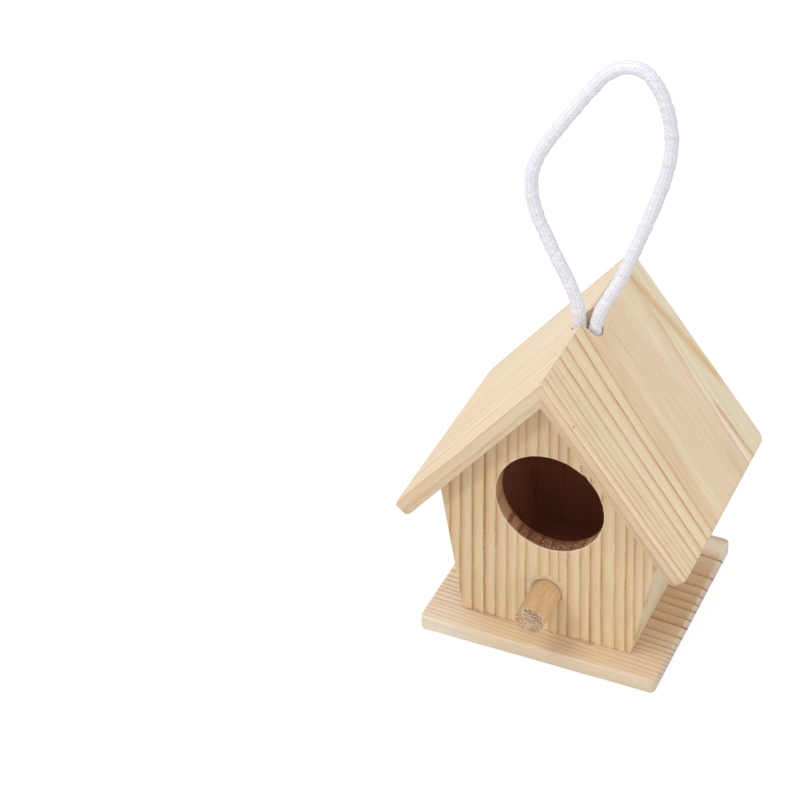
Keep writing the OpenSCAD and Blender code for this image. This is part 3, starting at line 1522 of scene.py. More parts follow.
@dataclass
class SideWall(Board):
    """A leaning side wall, its top cut to the roof's slope."""

    side: int = 1
    edge: float = 0.22

    def loops(self) -> list[np.ndarray]:
        """A rectangle of the wall's depth and height."""
        low, high = cad_box(self.node)
        return [rounded(rectangle((low.y, 0), (high.y, high.z - low.z)), self.step)]

    def ease(self, loop: np.ndarray) -> np.ndarray:
        """Hardly eased, since its edges are glued."""
        return self.edge * (1 + uneven(self.run(loop), (0.3, 19, self.seed)))

    def lay(self, plane: np.ndarray, depth: np.ndarray) -> np.ndarray:
        """Lays the wall between the outer and the inner line of its section.

        Args:
            plane: Points of the wall's plane.
            depth: How deep they lie.

        Returns:
            The points in place.
        """
        low, high = cad_box(self.node)
        ridge = cad_box("front_wall")[1].z
        rise = math.tan(SIZES.angle)
        inner_foot = min(abs(low.x), abs(high.x))
        inner_top = (ridge - high.z) / rise
        eaves = ridge - SIZES.eaves_half * rise
        share = plane[:, 1] / (high.z - low.z)
        deep = depth / self.thickness
        outer_x = SIZES.foot_half + (SIZES.eaves_half - SIZES.foot_half) * share
        outer_z = low.z + (eaves - low.z) * share
        inner_x = inner_foot + (inner_top - inner_foot) * share
        inner_z = low.z + (high.z - low.z) * share
        x = outer_x + (inner_x - outer_x) * deep
        z = outer_z + (inner_z - outer_z) * deep
        return np.stack([self.side * x, plane[:, 0], z], 1)


@dataclass
class RoofBoard(Board):
    """A roof board, mitred along the ridge, with half of the rope's hole cut through the mitre."""

    side: int = 1
    length: float = 89.0
    corner: float = 2.05
    back_corner: float = 2.05
    eave: float = 1.5
    edge: float = 0.36
    mitre: float = 0.14
    mitre_reach: float = 12.0
    hole: float = SIZES.rope_hole
    hole_rim: float = 0.3
    nick: float = 0.9
    nick_down: float = 19.4

    def loops(self) -> list[np.ndarray]:
        """Draws the board from the ridge down to the eave, with the rope's notch.

        Returns:
            The outline.
        """
        low, high = cad_box(self.node)
        reach = self.hole / math.cos(SIZES.angle)
        turns = np.linspace(math.pi / 2, -math.pi / 2, 19)[1:-1]
        notch = [(reach * math.cos(a), self.hole * math.sin(a), 0.0) for a in turns]
        corners = [
            (0, low.y, 0),
            (self.length, low.y, self.corner),
            (self.length, high.y, self.back_corner),
            (0, high.y, 0),
            (0, self.hole, 0),
            *notch,
            (0, -self.hole, 0),
        ]
        return [rounded(corners, self.step)]

    def ease(self, loop: np.ndarray) -> np.ndarray:
        """Rounds the eave, eases the sides and leaves the mitre nearly sharp.

        Args:
            loop: The outline.

        Returns:
            The rounding at each point.
        """
        down, wide, run = loop[:, 0], np.abs(loop[:, 1]), self.run(loop)
        eave = np.clip((down - self.length + 4) / 3, 0, 1)
        ridge = np.clip(1 - down / 1.2, 0, 1)
        ease = self.edge * (1 + uneven(run, (0.3, 29, self.seed)))
        ease = ease + (self.eave - ease) * eave * eave * (3 - 2 * eave)
        ease = ease + (self.mitre - ease) * ridge
        notch = (wide < self.hole + 0.1) & (down < self.hole * 2)
        ease = np.where(notch, self.hole_rim + uneven(run, (0.1, 5, self.seed + 1)), ease)
        if self.side > 0:
            away = np.hypot(down - self.nick_down, loop[:, 1] - loop[:, 1].min())
            ease = ease + self.nick * np.exp(-(away**2))
        return ease

    def lay(self, plane: np.ndarray, depth: np.ndarray) -> np.ndarray:
        """Lays the board down the slope, sheared so that its ridge end lies on the mitre.

        Args:
            plane: Points of the board's plane.
            depth: How deep they lie.

        Returns:
            The points in place.
        """
        top = cad_box(self.node)[1].z
        c, s = math.cos(SIZES.angle), math.sin(SIZES.angle)
        share = np.clip((self.length - plane[:, 0]) / (self.length - self.mitre_reach), 0, 1)
        down = plane[:, 0] + depth * math.tan(SIZES.angle) * share
        return np.stack([self.side * (down * c - depth * s), plane[:, 1], top - down * s - depth * c], 1)


@dataclass
class Perch:
    """The dowel under the entrance, glued into the front wall, with its ring of glue."""

    node: str = "perch_dowel"
    radius: float = SIZES.perch
    bevel: float = 0.4
    around: int = 80
    stop: float = 1.5
    ring: float = 6.55
    ring_parts: int = 112
    section: Pairs = (
        (-0.72, -0.1), (2.0, -0.1), (1.7, 0.04), (1.1, 0.2), (0.5, 0.46), (0.0, 0.6), (-0.68, 0.3),
    )

    def build(self) -> None:
        """Makes the dowel and the glue around its foot."""
        low, high = cad_box(self.node)
        middle = (low.z + high.z) / 2
        self._dowel(low.y, high.y, middle)
        self._glue(cad_box("front_wall")[0].y, middle)

    def _dowel(self, tip: float, root: float, middle: float) -> None:
        """Turns the dowel.

        Args:
            tip: Where its outer end lies.
            root: Where its inner end lies.
            middle: The height of its middle.
        """
        stops = [(root, 0.0), (root, 2.6), (root, self.radius - 0.3), (root - 0.3, self.radius)]
        stops += [(root - d, self.radius) for d in np.arange(self.stop, root - tip - 1.2, self.stop)]
        for a in (0.0, 0.45, 0.9, 1.3):
            back, out = 1 - math.sin(a), 1 - math.cos(a)
            stops.append((tip + self.bevel * back, self.radius - self.bevel * out))
        stops += [(tip, r) for r in (self.radius - self.bevel - 0.3, 4.2, 3.2, 2.1, 1.0, 0.0)]
        turn = 2 * np.pi * np.arange(self.around) / self.around
        body = Solid()
        rings = []
        for y, radius in stops:
            if radius == 0:
                rings.append(body.add(np.array([[0, y + 0.02, middle]])))
                continue
            rough = uneven(turn * 5, (0.004, 16, 2)) + uneven(turn * 5 + y, (0.003, 9, 4))
            if y < tip + self.bevel:
                rough = rough + uneven(turn * 5, (0.006, 2.2, 5))
            reach = radius * (1 + np.minimum(rough, 0.0))
            sink = uneven(turn * radius + radius, (0.07, 5, 6)) if y < tip + 0.01 else 0 * turn
            x, z = reach * np.cos(turn), reach * np.sin(turn)
            rings.append(body.add(np.stack([x, y + np.abs(sink), middle + z], 1)))
        for a, b in zip(rings[1:-2], rings[2:-1]):
            body.band(a, b, self.around)
        for hub, rim in ((rings[0], rings[1]), (rings[-1], rings[-2])):
            body.faces += [(hub, rim + k, rim + (k + 1) % self.around) for k in range(self.around)]
        seat(body.piece("perch", DowelFinish().material(), SHARP_DOWEL), Slot.DOWEL, self.node)

    def _glue(self, wall: float, middle: float) -> None:
        """Lays the ring of dried glue and raised fibres on the wall.

        Args:
            wall: Where the wall's face lies.
            middle: The height of the perch's middle.
        """
        turn = 2 * np.pi * np.arange(self.ring_parts) / self.ring_parts
        run = turn * self.ring
        thick = 0.22 + 0.7 * np.clip(0.4 + 1.5 * np.cos(turn - 2.1), 0, 1)
        width = thick * (0.9 + uneven(run, (0.22, 13, 41), (0.12, 2.7, 42)))
        height = 0.5 * thick * (1.0 + uneven(run, (0.3, 9, 43), (0.2, 1.9, 44)))
        away = self.radius + 0.3 + 0.6 * width + uneven(run, (0.06, 17, 45))
        rings = []
        for a, w, h, r in zip(turn, width, height, away):
            out = np.array([math.cos(a), 0.0, math.sin(a)])
            rings.append(bead_ring(self.section, out * r + [0.0, wall, middle], out * w, (0.0, -h, 0.0)))
        body = Solid()
        body.bead(rings, closed=True)
        stick(body, GlueFinish("perch_glue", "e6d2b4", "cdb18b", round_perch=True))


@dataclass
class Leftovers:
    """Dried glue along the seams, and the torn fibres that sawing and drilling left.

    Torn lists stretches of the front wall's foot, and how many fibres stick out of each.
    """

    part: float = 0.6
    foot_section: Pairs = ((-0.12, -0.1), (1.0, -0.1), (0.6, 0.18), (0.25, 0.5), (-0.12, 1.0))
    roof_section: Pairs = ((-0.1, -0.1), (1.0, -0.1), (0.6, 0.3), (0.25, 0.7), (-0.1, 1.0))
    front_bead: float = 0.34
    side_bead: float = 0.12
    torn: tuple[tuple[float, float, int], ...] = (
        (-30.5, -21.0, 80), (12.5, 19.0, 40), (30.5, 33.2, 24), (-33, 33, 70),
    )
    rim_fibres: int = 130
    crumbs: int = 70
    seed: int = 51

    def build(self) -> None:
        """Makes the glue and the fibres."""
        top = cad_box("base_plate")[1].z
        self._foot_glue(top)
        self._roof_glue()
        rng = np.random.default_rng(self.seed)
        body = Solid()
        self._foot_fibres(body, rng, top)
        self._entrance_fibres(body, rng)
        stick(body, FluffFinish())

    def _foot_glue(self, top: float) -> None:
        """Runs a thin bead of glue round the walls' foot.

        Args:
            top: The height of the plate's top.
        """
        half = np.array([SIZES.foot_half, SIZES.depth_half])
        corners = [np.array([x, y, top]) for x, y, _ in rectangle(-half, half)]
        outs = [(0.0, -1.0, 0.0), (1.0, 0.0, 0.0), (0.0, 1.0, 0.0), (-1.0, 0.0, 0.0)]
        rings = []
        run = 0.0
        for here, after, out in zip(corners, corners[1:] + corners[:1], outs):
            parts = round(float(np.linalg.norm(after - here)) / self.part)
            wide = self.front_bead if out[1] < 0 else self.side_bead
            for k in range(parts):
                run += self.part
                width = max(0.05, wide * (1 + uneven(run, (0.8, 14, 52), (0.5, 2.3, 53))))
                height = max(0.04, 0.2 + uneven(run, (0.14, 9, 54), (0.12, 1.7, 55)))
                at = here + (after - here) * (k + 0.5) / parts
                rings.append(bead_ring(self.foot_section, at, np.array(out) * width, (0.0, 0.0, height)))
        body = Solid()
        body.bead(rings, closed=True)
        stick(body, GlueFinish("foot_glue", "dbbd92", "b48c5f"))

    def _roof_glue(self) -> None:
        """Runs thin beads of glue where the roof lies on the front and back walls."""
        body = Solid()
        for node, facing, seed in (("front_wall", -1, 61), ("back_wall", 1, 71)):
            for side in (-1, 1):
                body.bead(self._roof_bead(node, facing, side, seed), closed=False)
        stick(body, GlueFinish("roof_glue", "c9a878", "94703f"))

    def _roof_bead(self, node: str, facing: int, side: int, seed: int) -> list[np.ndarray]:
        """Runs one bead from the ridge down to the eave, with a lump at the front left.

        Args:
            node: The wall that it lies on.
            facing: -1 for the front wall and 1 for the back wall.
            side: -1 for the left slope and 1 for the right.
            seed: The seed of its unevenness.

        Returns:
            The bead's sections.
        """
        low, high = cad_box(node)
        wall = low.y if facing < 0 else high.y
        c, s = math.cos(SIZES.angle), math.sin(SIZES.angle)
        rings = []
        for run in np.arange(0.0, high.x / c - self.part, self.part):
            size = max(0.05, 0.2 + uneven(run, (0.1, 9, seed + side), (0.08, 2.1, seed + 5)))
            if side < 0 and facing < 0:
                size += 0.9 * math.exp(-(((run - 2.2) / 1.4) ** 2))
            at = (side * run * c, wall, high.z - run * s)
            out, down = (0.0, facing * size, 0.0), (-side * size * s, 0.0, -size * c)
            rings.append(bead_ring(self.roof_section, at, out, down))
        return rings

    def _foot_fibres(self, body: Solid, rng: np.random.Generator, top: float) -> None:
        """Scatters fibres along the foot, and one longer splinter.

        Args:
            body: The mesh.
            rng: The random numbers.
            top: The height of the plate's top.
        """
        front = -SIZES.depth_half
        for low, high, count in self.torn:
            for _ in range(count):
                x, y = rng.uniform(low, high), front - rng.uniform(0.02, 0.35)
                start = np.array([x, y, top + rng.uniform(0.0, 0.45)])
                way = np.array([rng.uniform(-1, 1), -abs(rng.normal(0, 0.35)), rng.normal(0, 0.45)])
                way /= np.linalg.norm(way)
                end = start + way * rng.uniform(0.5, 1.5)
                end[2] = max(end[2], top + 0.03)
                body.sliver(start, end, rng.uniform(0.14, 0.36), rng.normal(0, 0.08, 3))
        start, end = np.array([2.4, front - 0.2, top + 0.55]), np.array([5.6, front - 1.3, top + 0.15])
        body.sliver(start, end, 0.55, np.array([0.0, 0.0, 0.12]))

    def _entrance_fibres(self, body: Solid, rng: np.random.Generator) -> None:
        """Scatters fibres round the entrance's rim, and short crumbs on its lower wall.

        Args:
            body: The mesh.
            rng: The random numbers.
        """
        front = -SIZES.depth_half
        for _ in range(self.rim_fibres):
            turn = rng.uniform(0, 2 * math.pi)
            away = SIZES.entrance + rng.uniform(-0.05, 0.5)
            out = np.array([math.cos(turn), 0.0, math.sin(turn)])
            round_it = np.array([-math.sin(turn), 0.0, math.cos(turn)])
            start = np.array([0.0, front - rng.uniform(-0.2, 0.1), SIZES.entrance_height]) + out * away
            way = round_it * rng.choice([-1, 1]) + out * rng.normal(0, 0.4) + [0, rng.normal(-0.05, 0.2), 0]
            end = start + way * rng.uniform(0.3, 1.0)
            body.sliver(start, end, rng.uniform(0.07, 0.13), rng.normal(0, 0.04, 3))
        for _ in range(self.crumbs):
            turn = math.radians(rng.normal(279, 16))
            away = SIZES.entrance - rng.uniform(0.05, 0.2)
            deep = front + rng.uniform(0.8, 4.4)
            start = np.array([away * math.cos(turn), deep, SIZES.entrance_height + away * math.sin(turn)])
            way = np.array([rng.normal(0, 1), rng.normal(0, 1), abs(rng.normal(0, 0.3))])
            way *= rng.uniform(0.3, 0.6) / np.linalg.norm(way)
            body.sliver(start - way / 2, start + way / 2, rng.uniform(0.2, 0.38), np.zeros(3))


# == Rope ==


def smooth_route(route: Sequence[Triple], step: float) -> np.ndarray:
    """Lays one smooth curve through a route's points.

    Args:
        route: The points.
        step: The distance between two points of the result.

    Returns:
        The curve's points, evenly spaced.
    """
    p = np.array(route, float)
    p = np.concatenate([[2 * p[0] - p[1]], p, [2 * p[-1] - p[-2]]])
    t = np.linspace(0, 1, 24, endpoint=False)[:, None]
    out = []
    for a, b, c, d in zip(p[:-3], p[1:-2], p[2:-1], p[3:]):
        bend = 2 * b + (c - a) * t + (2 * a - 5 * b + 4 * c - d) * t**2 + (3 * b - a - 3 * c + d) * t**3
        out.append(bend / 2)
    fine = np.concatenate([*out, p[-2:-1]])
    run = np.concatenate([[0], np.cumsum(np.linalg.norm(np.diff(fine, axis=0), axis=1))])
    even = np.linspace(0, run[-1], max(2, round(run[-1] / step)) + 1)
    return np.stack([np.interp(even, run, fine[:, k]) for k in range(3)], 1)


@dataclass
class Braid:
    """A tube of braided strands along a route."""

    radius: float = 2.5
    strands: int = 10
    lay: float = 11.5
    relief: float = 0.15
    around: int = 60
    step: float = 0.26
    lump: float = 0.07
    seed: int = 11

    def sweep(self, body: Solid, path: np.ndarray) -> None:
        """Adds the tube to a mesh.

        Args:
            body: The mesh.
            path: The middle line, evenly spaced.
        """
        along = np.gradient(path, axis=0)
        along /= np.linalg.norm(along, axis=1, keepdims=True)
        side = np.cross(along[0], [0.0, 1.0, 0.0])
        sides = []
        for here in along:
            side = side - here * (side @ here)
            side /= np.linalg.norm(side)
            sides.append(side)
        first = np.array(sides)
        second = np.cross(along, first)
        run = np.concatenate([[0], np.cumsum(np.linalg.norm(np.diff(path, axis=0), axis=1))])
        turn = np.arange(self.around) / self.around
        twist = uneven(run, (0.02, 31, self.seed + 2), (0.008, 6, self.seed + 3))
        lay = (run + uneven(run, (0.45, 9, self.seed + 4))) / self.lay
        reach = self.height(turn[None], run[:, None], twist[:, None], lay[:, None])[..., None]
        angle = 2 * np.pi * turn
        out = first[:, None] * np.cos(angle)[None, :, None] + second[:, None] * np.sin(angle)[None, :, None]
        points = path[:, None] + out * reach
        start = body.add(points.reshape(-1, 3))
        rings = len(path)
        share = np.arange(self.around + 1) / self.around
        for i in range(rings - 1):
            low = start + i * self.around
            body.band(low, low + self.around, self.around)
            here = [(turns + twist[i], lay[i]) for turns in share]
            after = [(turns + twist[i + 1], lay[i + 1]) for turns in share]
            body.maps += [[here[k], here[k + 1], after[k + 1], after[k]] for k in range(self.around)]
        for end in (0, rings - 1):
            ring_start = start + end * self.around
            body.faces.append(tuple(range(ring_start, ring_start + self.around)))
            body.maps.append([(share[k], lay[end]) for k in range(self.around)])

    def height(self, turn: np.ndarray, run: np.ndarray, twist: np.ndarray, lay: np.ndarray) -> np.ndarray:
        """Distance of the braid's surface from its middle line.

        Args:
            turn: Turns round the rope.
            run: Distance along it.
            twist: How far the braid has slipped round, in turns.
            lay: Turns of a strand along the rope.

        Returns:
            The distance.
        """
        column = (turn + twist) * self.strands
        right, left = column + lay * self.strands, column - lay * self.strands
        odd = (column / 2) % 1 > 0.5
        stitch = np.where(odd, left % 1, right % 1)
        crown = np.sin(np.pi * stitch) ** 0.5 * (0.4 + 0.6 * np.sin(np.pi * (column % 1)) ** 0.55)
        lumps = ripple(run + 2.3 * np.sin(2 * np.pi * turn), 9.5, self.seed)
        lumps = lumps + 0.7 * ripple(run - 1.7 * np.cos(2 * np.pi * turn), 4.3, self.seed + 1)
        return (self.radius - self.relief * 0.6) * (1 + self.lump * lumps) + self.relief * crown


@dataclass
class RopeLoop:
    """The loop of braided cotton with both ends down through the ridge."""

    diameter: float = SIZES.rope
    plaits: float = 0.17
    mouth: float = 120.0
    path_step: int = 8
    route: tuple[Triple, ...] = (
        (-0.0027, 0.0, 0.109), (-0.0027, 0.0, 0.116), (-0.003, 0.0, 0.123),
        (-0.0048, -0.0005, 0.132), (-0.008, -0.001, 0.140), (-0.012, -0.0015, 0.148),
        (-0.016, -0.0015, 0.156), (-0.0195, -0.0015, 0.1635), (-0.0216, -0.0015, 0.172),
        (-0.0212, -0.0015, 0.181), (-0.018, -0.001, 0.1895), (-0.013, -0.0005, 0.198),
        (-0.0075, 0.0, 0.2065), (-0.0025, 0.001, 0.214), (0.003, 0.0015, 0.221),
        (0.0095, 0.002, 0.2245), (0.016, 0.003, 0.223), (0.021, 0.0035, 0.2165),
        (0.024, 0.004, 0.208), (0.0253, 0.0045, 0.199), (0.0248, 0.0045, 0.190),
        (0.023, 0.0045, 0.181), (0.0205, 0.004, 0.172), (0.0175, 0.0035, 0.1625),
        (0.0145, 0.003, 0.153), (0.011, 0.002, 0.143), (0.0075, 0.001, 0.135),
        (0.0045, 0.0005, 0.128), (0.003, 0.0, 0.1215), (0.0027, 0.0, 0.1155),
        (0.0027, 0.0, 0.109),
    )

    def build(self, cotton: bpy.types.Material) -> None:
        """Args:
            cotton: The rope's material.
        """
        braid = Braid(radius=self.diameter / 2 - self.plaits)
        points = [(x / MM, y / MM, z / MM) for x, y, z in self.route]
        path = smooth_route(points, braid.step)
        body = Solid()
        braid.sweep(body, path)
        loop = seat(body.piece("rope_braid", cotton, SHARP_ROPE), Slot.ROPE, "rope_loop")
        knot = StopperKnot(self.diameter).build(cotton)
        self.diameter * MM


@dataclass
class StopperKnot:
    """The knot under the ridge: two strands wound with turns of rope, and their cut ends."""

    diameter: float = SIZES.rope
    strand: float = 2.7
    top: float = 109.0
    low: float = 96.2
    high: float = 103.2
    wrap: float = 6.35
    turns: float = 1.55
    start: float = 0.7
    tucked: float = 0.55
    tail: float = 12.65
    lean: float = 22.0
    coarser: float = 1.4

    def build(self, cotton: bpy.types.Material) -> bpy.types.Object:
        """Makes the knot.

        Args:
            cotton: The rope's material.

        Returns:
            The piece.
        """
        body = Solid()
        core = Braid(radius=self.diameter / 2 - 0.1, seed=21)
        for side in (-1, 1):
            core.sweep(body, smooth_route(self._strand(side), core.step * self.coarser))
        coil = Braid(radius=self.diameter / 2 - 0.05, seed=31)
        coil.sweep(body, smooth_route(self._coil(), coil.step * self.coarser))
        return seat(body.piece("rope_stopper_knot", cotton, SHARP_ROPE), Slot.ROPE, "rope_knot")

    def _strand(self, side: int) -> list[Triple]:
        """Routes one strand down through the knot to its cut end.

        Args:
            side: -1 for the left strand and 1 for the right.

        Returns:
            The route's points.
        """
        lean = math.radians(self.lean)
        x = side * self.strand
        out, down = side * self.tail * math.sin(lean), self.tail * math.cos(lean)
        bend = (x + side * 0.3, 0.0, self.low + 1)
        return [(x, 0.0, self.top), (x, 0.0, self.low + 6), bend, (x + out, 0.0, self.low - down)]

    def _coil(self) -> list[list[float]]:
        """Routes the rope that is wound round the strands, tucked in at both ends.

        Returns:
            The route's points.
        """
        share = np.linspace(0, 1, 26)
        angles = 2 * math.pi * self.turns * share + self.start
        tuck = np.clip(np.minimum(share, 1 - share) * 7, 0, 1)
        reach = self.wrap * (self.tucked + (1 - self.tucked) * tuck)
        level = self.low + (self.high - self.low) * share
        return np.stack([reach * np.cos(angles), reach * np.sin(angles), level], 1).tolist()


# == The house ==


@dataclass
class House:
    """The boards of the house with their finishes."""

    body_middle: float = 52.0
    plate_rings: Pairs = (
        (-54, 0.5), (-45, 0.3), (-32.8, 0.8), (-21.8, 0.85), (-14.8, 0.8), (-9.8, 0.7), (-4.8, 0.65),
        (-0.8, 0.7), (4.2, 0.7), (9.2, 1.0), (15.2, 0.7), (19.2, 0.6), (22.2, 0.5), (24.7, 0.5),
        (27.2, 0.5), (29.2, 0.45), (31.2, 0.45), (33.7, 0.4), (36.2, 0.4), (38.2, 0.34), (40.2, 0.27),
        (42.2, 0.27), (44.2, 0.3), (46.6, 0.3), (49.5, 0.3), (54, 0.5),
    )
    front_rings: Pairs = (
        (-52, 0.5), (-47.5, 0.5), (-43.6, 0.55), (-39.5, 0.5), (-35.9, 0.6), (-32.4, 0.5), (-29.2, 0.75),
        (-25.2, 0.5), (-20.2, 0.7), (-15.9, 0.85), (-12.1, 0.55), (-7.3, 0.7), (-3.7, 0.6), (-0.2, 0.5),
        (4.0, 0.5), (8.9, 0.6), (12.2, 0.4), (16.0, 0.6), (20.3, 0.7), (24.8, 1.0), (29.5, 0.85),
        (34.3, 0.8), (38.6, 0.7), (43.2, 0.7), (48.5, 0.7), (54, 0.7),
    )
    right_roof_rings: Pairs = (
        (-62, 0.7), (-56, 0.6), (-51, 0.6), (-46, 0.7), (-41.6, 0.6), (-38.5, 0.35), (-35, 0.6),
        (-32, 0.2), (-27.7, 0.75), (-21.3, 0.9), (-13.3, 1.0), (-6.8, 0.8), (-5, 0.25), (-3.6, 0.35),
        (-2.2, 0.3), (-0.8, 0.35), (0.6, 0.3), (2, 0.2), (3.4, 0.1), (9, 0.03), (15, 0.03), (20.5, 0.03),
        (24.5, 0.05), (28.4, 0.2), (29.8, 0.3), (31.2, 0.38), (32.6, 0.42), (34, 0.4), (35.3, 0.46),
        (36.6, 0.6), (40, 0.08), (44, 0.1), (49, 0.1), (56, 0.1),
    )

    def build(self) -> None:
        """Makes the seven boards."""
        self._plate()
        self._front()
        self._back()
        for side, name in ((1, "right"), (-1, "left")):
            self._side(side, name)
        self._right_roof()
        self._left_roof()

    def _plate(self) -> None:
        """Makes the base plate, its grain from side to side."""
        finish = PineFinish(
            "plate_pine",
            Cut((0.0, 0.0, SIZES.board), (1.0, 0.0, 0.0), (0.0, -1.0, 0.0), (0.0, 0.0, -1.0)),
            Growth(self.plate_rings, tilt=1.0, drift=-6.2, wander=1.8, late=0.6, halo=2.0, rough=0.3),
            Tones(
                "eedcbf", "e6d0af", "cb955f", "a0623b",
                end=(1.07, 1.09, 1.22), side=(1.0, 1.01, 1.03), under=(1.0, 1.01, 1.03),
            ),
            (
                Streak(-37.0, 4.0, "ffefd8", 0.8, soft=2.0),
                # Paler towards the left end and browner towards the right end: partly the wood's own tone,
                # partly painted light and painted shade, the right end lying in the house's shade.
                Streak(20.0, 45.0, "f8eddb", 0.55, soft=5.0, begin=-60.0, end=-40.0, fade=22.0),
                Streak(-6.0, 24.0, "c9a06c", 0.42, soft=9.0, begin=36.0, end=60.0, fade=10.0),
            ),
            room=RoomShade(True, SIZES.room_half, begin=-27.0, end=27.0, tone="d8a898", plain=0.8),
            end_plain=0.55,
            end_dark=0.8,
            side_plain=0.75,
            side_rough=0.22,
            burn=0.95,
            seed=2.3,
        )
        BasePlate("plate", "base_plate", finish, seed=4).build()

    def _upright_cut(self, facing: int) -> Cut:
        """How an end wall, -1 in front or 1 behind, lies in its tree: its grain upright."""
        origin = (0.0, facing * SIZES.depth_half, self.body_middle)
        return Cut(origin, (0.0, 0.0, -1.0), (float(facing), 0.0, 0.0), (0.0, float(-facing), 0.0))

    def _front(self) -> None:
        """Makes the front wall, its grain upright."""
        finish = PineFinish(
            "front_pine",
            self._upright_cut(-1),
            Growth(
                self.front_rings,
                drift=1.9, spread=-0.055, wander=1.1, late=0.68, halo=1.35, edge=0.24, rough=0.65,
            ),
            Tones("eed9b5", "e6cc9e", "d69c62", "a66c3c", end=(0.584, 0.479, 0.381)),
            room=RoomShade(),
            bore=Bore(self.body_middle - SIZES.entrance_height, 0.0, SIZES.entrance),
            fibre=0.23,
            dashes=0.7,
            seed=7.1,
        )
        GableWall("front", "front_wall", finish, seed=6).build()

    def _back(self) -> None:
        """Makes the back wall, its grain upright."""
        rings = Growth.even(-55, 55, 3.4, 0.55, 5)
        finish = PineFinish(
            "back_pine",
            self._upright_cut(1),
            Growth(rings, tilt=0.5, drift=-1.5, spread=0.03, late=0.45, halo=1.2),
            Tones("efd8b0", "e8cca0", "d9a873", "a86c40"),
            room=RoomShade(),
            seed=9.7,
        )
        GableWall("back", "back_wall", finish, open=False, seed=8).build()

    def _side(self, side: int, name: str) -> None:
        """Makes a leaning side wall, its grain upright.

        Args:
            side: 1 for the right wall and -1 for the left.
            name: The side in words.
        """
        lean = math.atan2(SIZES.eaves_half - SIZES.foot_half, SIZES.eaves_height - SIZES.board)
        cut = Cut(
            (side * SIZES.foot_half, 0.0, SIZES.board),
            (side * math.sin(lean), 0.0, math.cos(lean)),
            (0.0, 1.0, 0.0),
            (-side * math.cos(lean), 0.0, math.sin(lean)),
        )
        rings = Growth.even(-50, 50, 1.5 if side > 0 else 2.6, 0.22, 12 + side)
        finish = PineFinish(
            f"{name}_side_pine",
            cut,
            Growth(rings, tilt=0.6, wander=1.2, late=0.3, halo=0.7),
            Tones("ecdfc3", "e6d4b2", "dab585", "b78859"),
            room=RoomShade(tone="f3c4ae"),
            seed=13.0 + side,
        )
        SideWall(f"{name}_side", f"{name}_side_wall", finish, side=side, seed=16 + side).build()

    def _roof_cut(self, side: int) -> Cut:
        """How a roof board, 1 right or -1 left, lies in its tree: its grain down the slope."""
        c, s = math.cos(SIZES.angle), math.sin(SIZES.angle)
        return Cut((0.0, 0.0, SIZES.ridge), (side * c, 0.0, -s), (0.0, 1.0, 0.0), (-side * s, 0.0, -c))

    def _right_roof(self) -> None:
        """Makes the right roof board: broad rings in front, a pale middle and fine ones behind."""
        finish = PineFinish(
            "right_roof_pine",
            self._roof_cut(1),
            Growth(
                self.right_roof_rings,
                tilt=-1.5, drift=10.9, spread=0.2, least=0.0, most=9.5, power=0.85,
                wander=1.0, tremor=0.4, late=0.52, halo=1.25, edge=0.26,
            ),
            Tones(
                "f4e1bf", "efd8b4", "e2a965", "b67c43",
                # Painted shade: the narrow sides darken towards the underside.
                side=(0.99, 0.985, 1.03), under=(0.775, 0.68, 0.615),
            ),
            (
                Streak(11.0, 10.0, "ecd2b2", 0.55, soft=3.0),
                Streak(28.0, 5.0, "ffefd8", 0.9, soft=2.5),
                Streak(39.0, 7.0, "efe3c4", 0.75, soft=1.2),
                Streak(34.1, 1.9, "e3b67b", 0.6, 0.17, 1.3, begin=4.0, end=56.0, fade=9.0),
                Streak(34.0, 0.3, "cf9c5f", 0.32, 0.17, 0.4, begin=8.0, end=50.0, over=True),
                Streak(27.0, 7.0, "efdab8", 0.7, 0.0, 2.0, begin=-20.0, end=14.0, fade=16.0, over=True),
                Streak(31.1, 1.2, "dcae74", 0.6, 0.017, 1.0, begin=66.0, end=95.0, fade=8.0, over=True),
                Streak(31.4, 0.3, "c08a50", 0.4, 0.017, 0.4, begin=66.0, end=95.0, fade=8.0, over=True),
                # A dark spot in the chip on the front edge: painted shade in its hollow.
                Streak(-44.7, 0.4, "84664f", 0.55, 0.0, 0.25, begin=19.1, end=19.6, fade=0.35, over=True),
            ),
            room=RoomShade(reach=SIZES.room_half, end=68.0),
            late_share=0.82,
            fibre=0.23,
            dashes=0.85,
            seed=17.0,
        )
        RoofBoard("right_roof", "right_roof_board", finish, seed=20).build()

    def _left_roof(self) -> None:
        """Makes the left roof board, of fine and even rings."""
        rings = Growth.even(-62.6, 60, 1.5, 0.8, 31)
        finish = PineFinish(
            "left_roof_pine",
            self._roof_cut(-1),
            Growth(rings, tilt=-0.42, drift=-0.1, wander=1.4, late=0.34, halo=0.7),
            Tones(
                "f5e8cf", "f0dfc2", "efca9d", "c38c58",
                # Painted shade: the narrow sides are darker than the face, most towards the underside.
                side=(0.9, 0.83, 0.78), under=(0.86, 0.78, 0.72),
            ),
            (Streak(0.0, 60.0, "f0ddba", 0.55, soft=5.0, begin=85.0, end=200.0, fade=60.0),),
            room=RoomShade(reach=SIZES.room_half, end=68.0),
            side_plain=0.6,
            seed=23.0,
        )
        RoofBoard("left_roof", "left_roof_board", finish, side=-1, back_corner=5.0, seed=24).build()


# == Studio ==


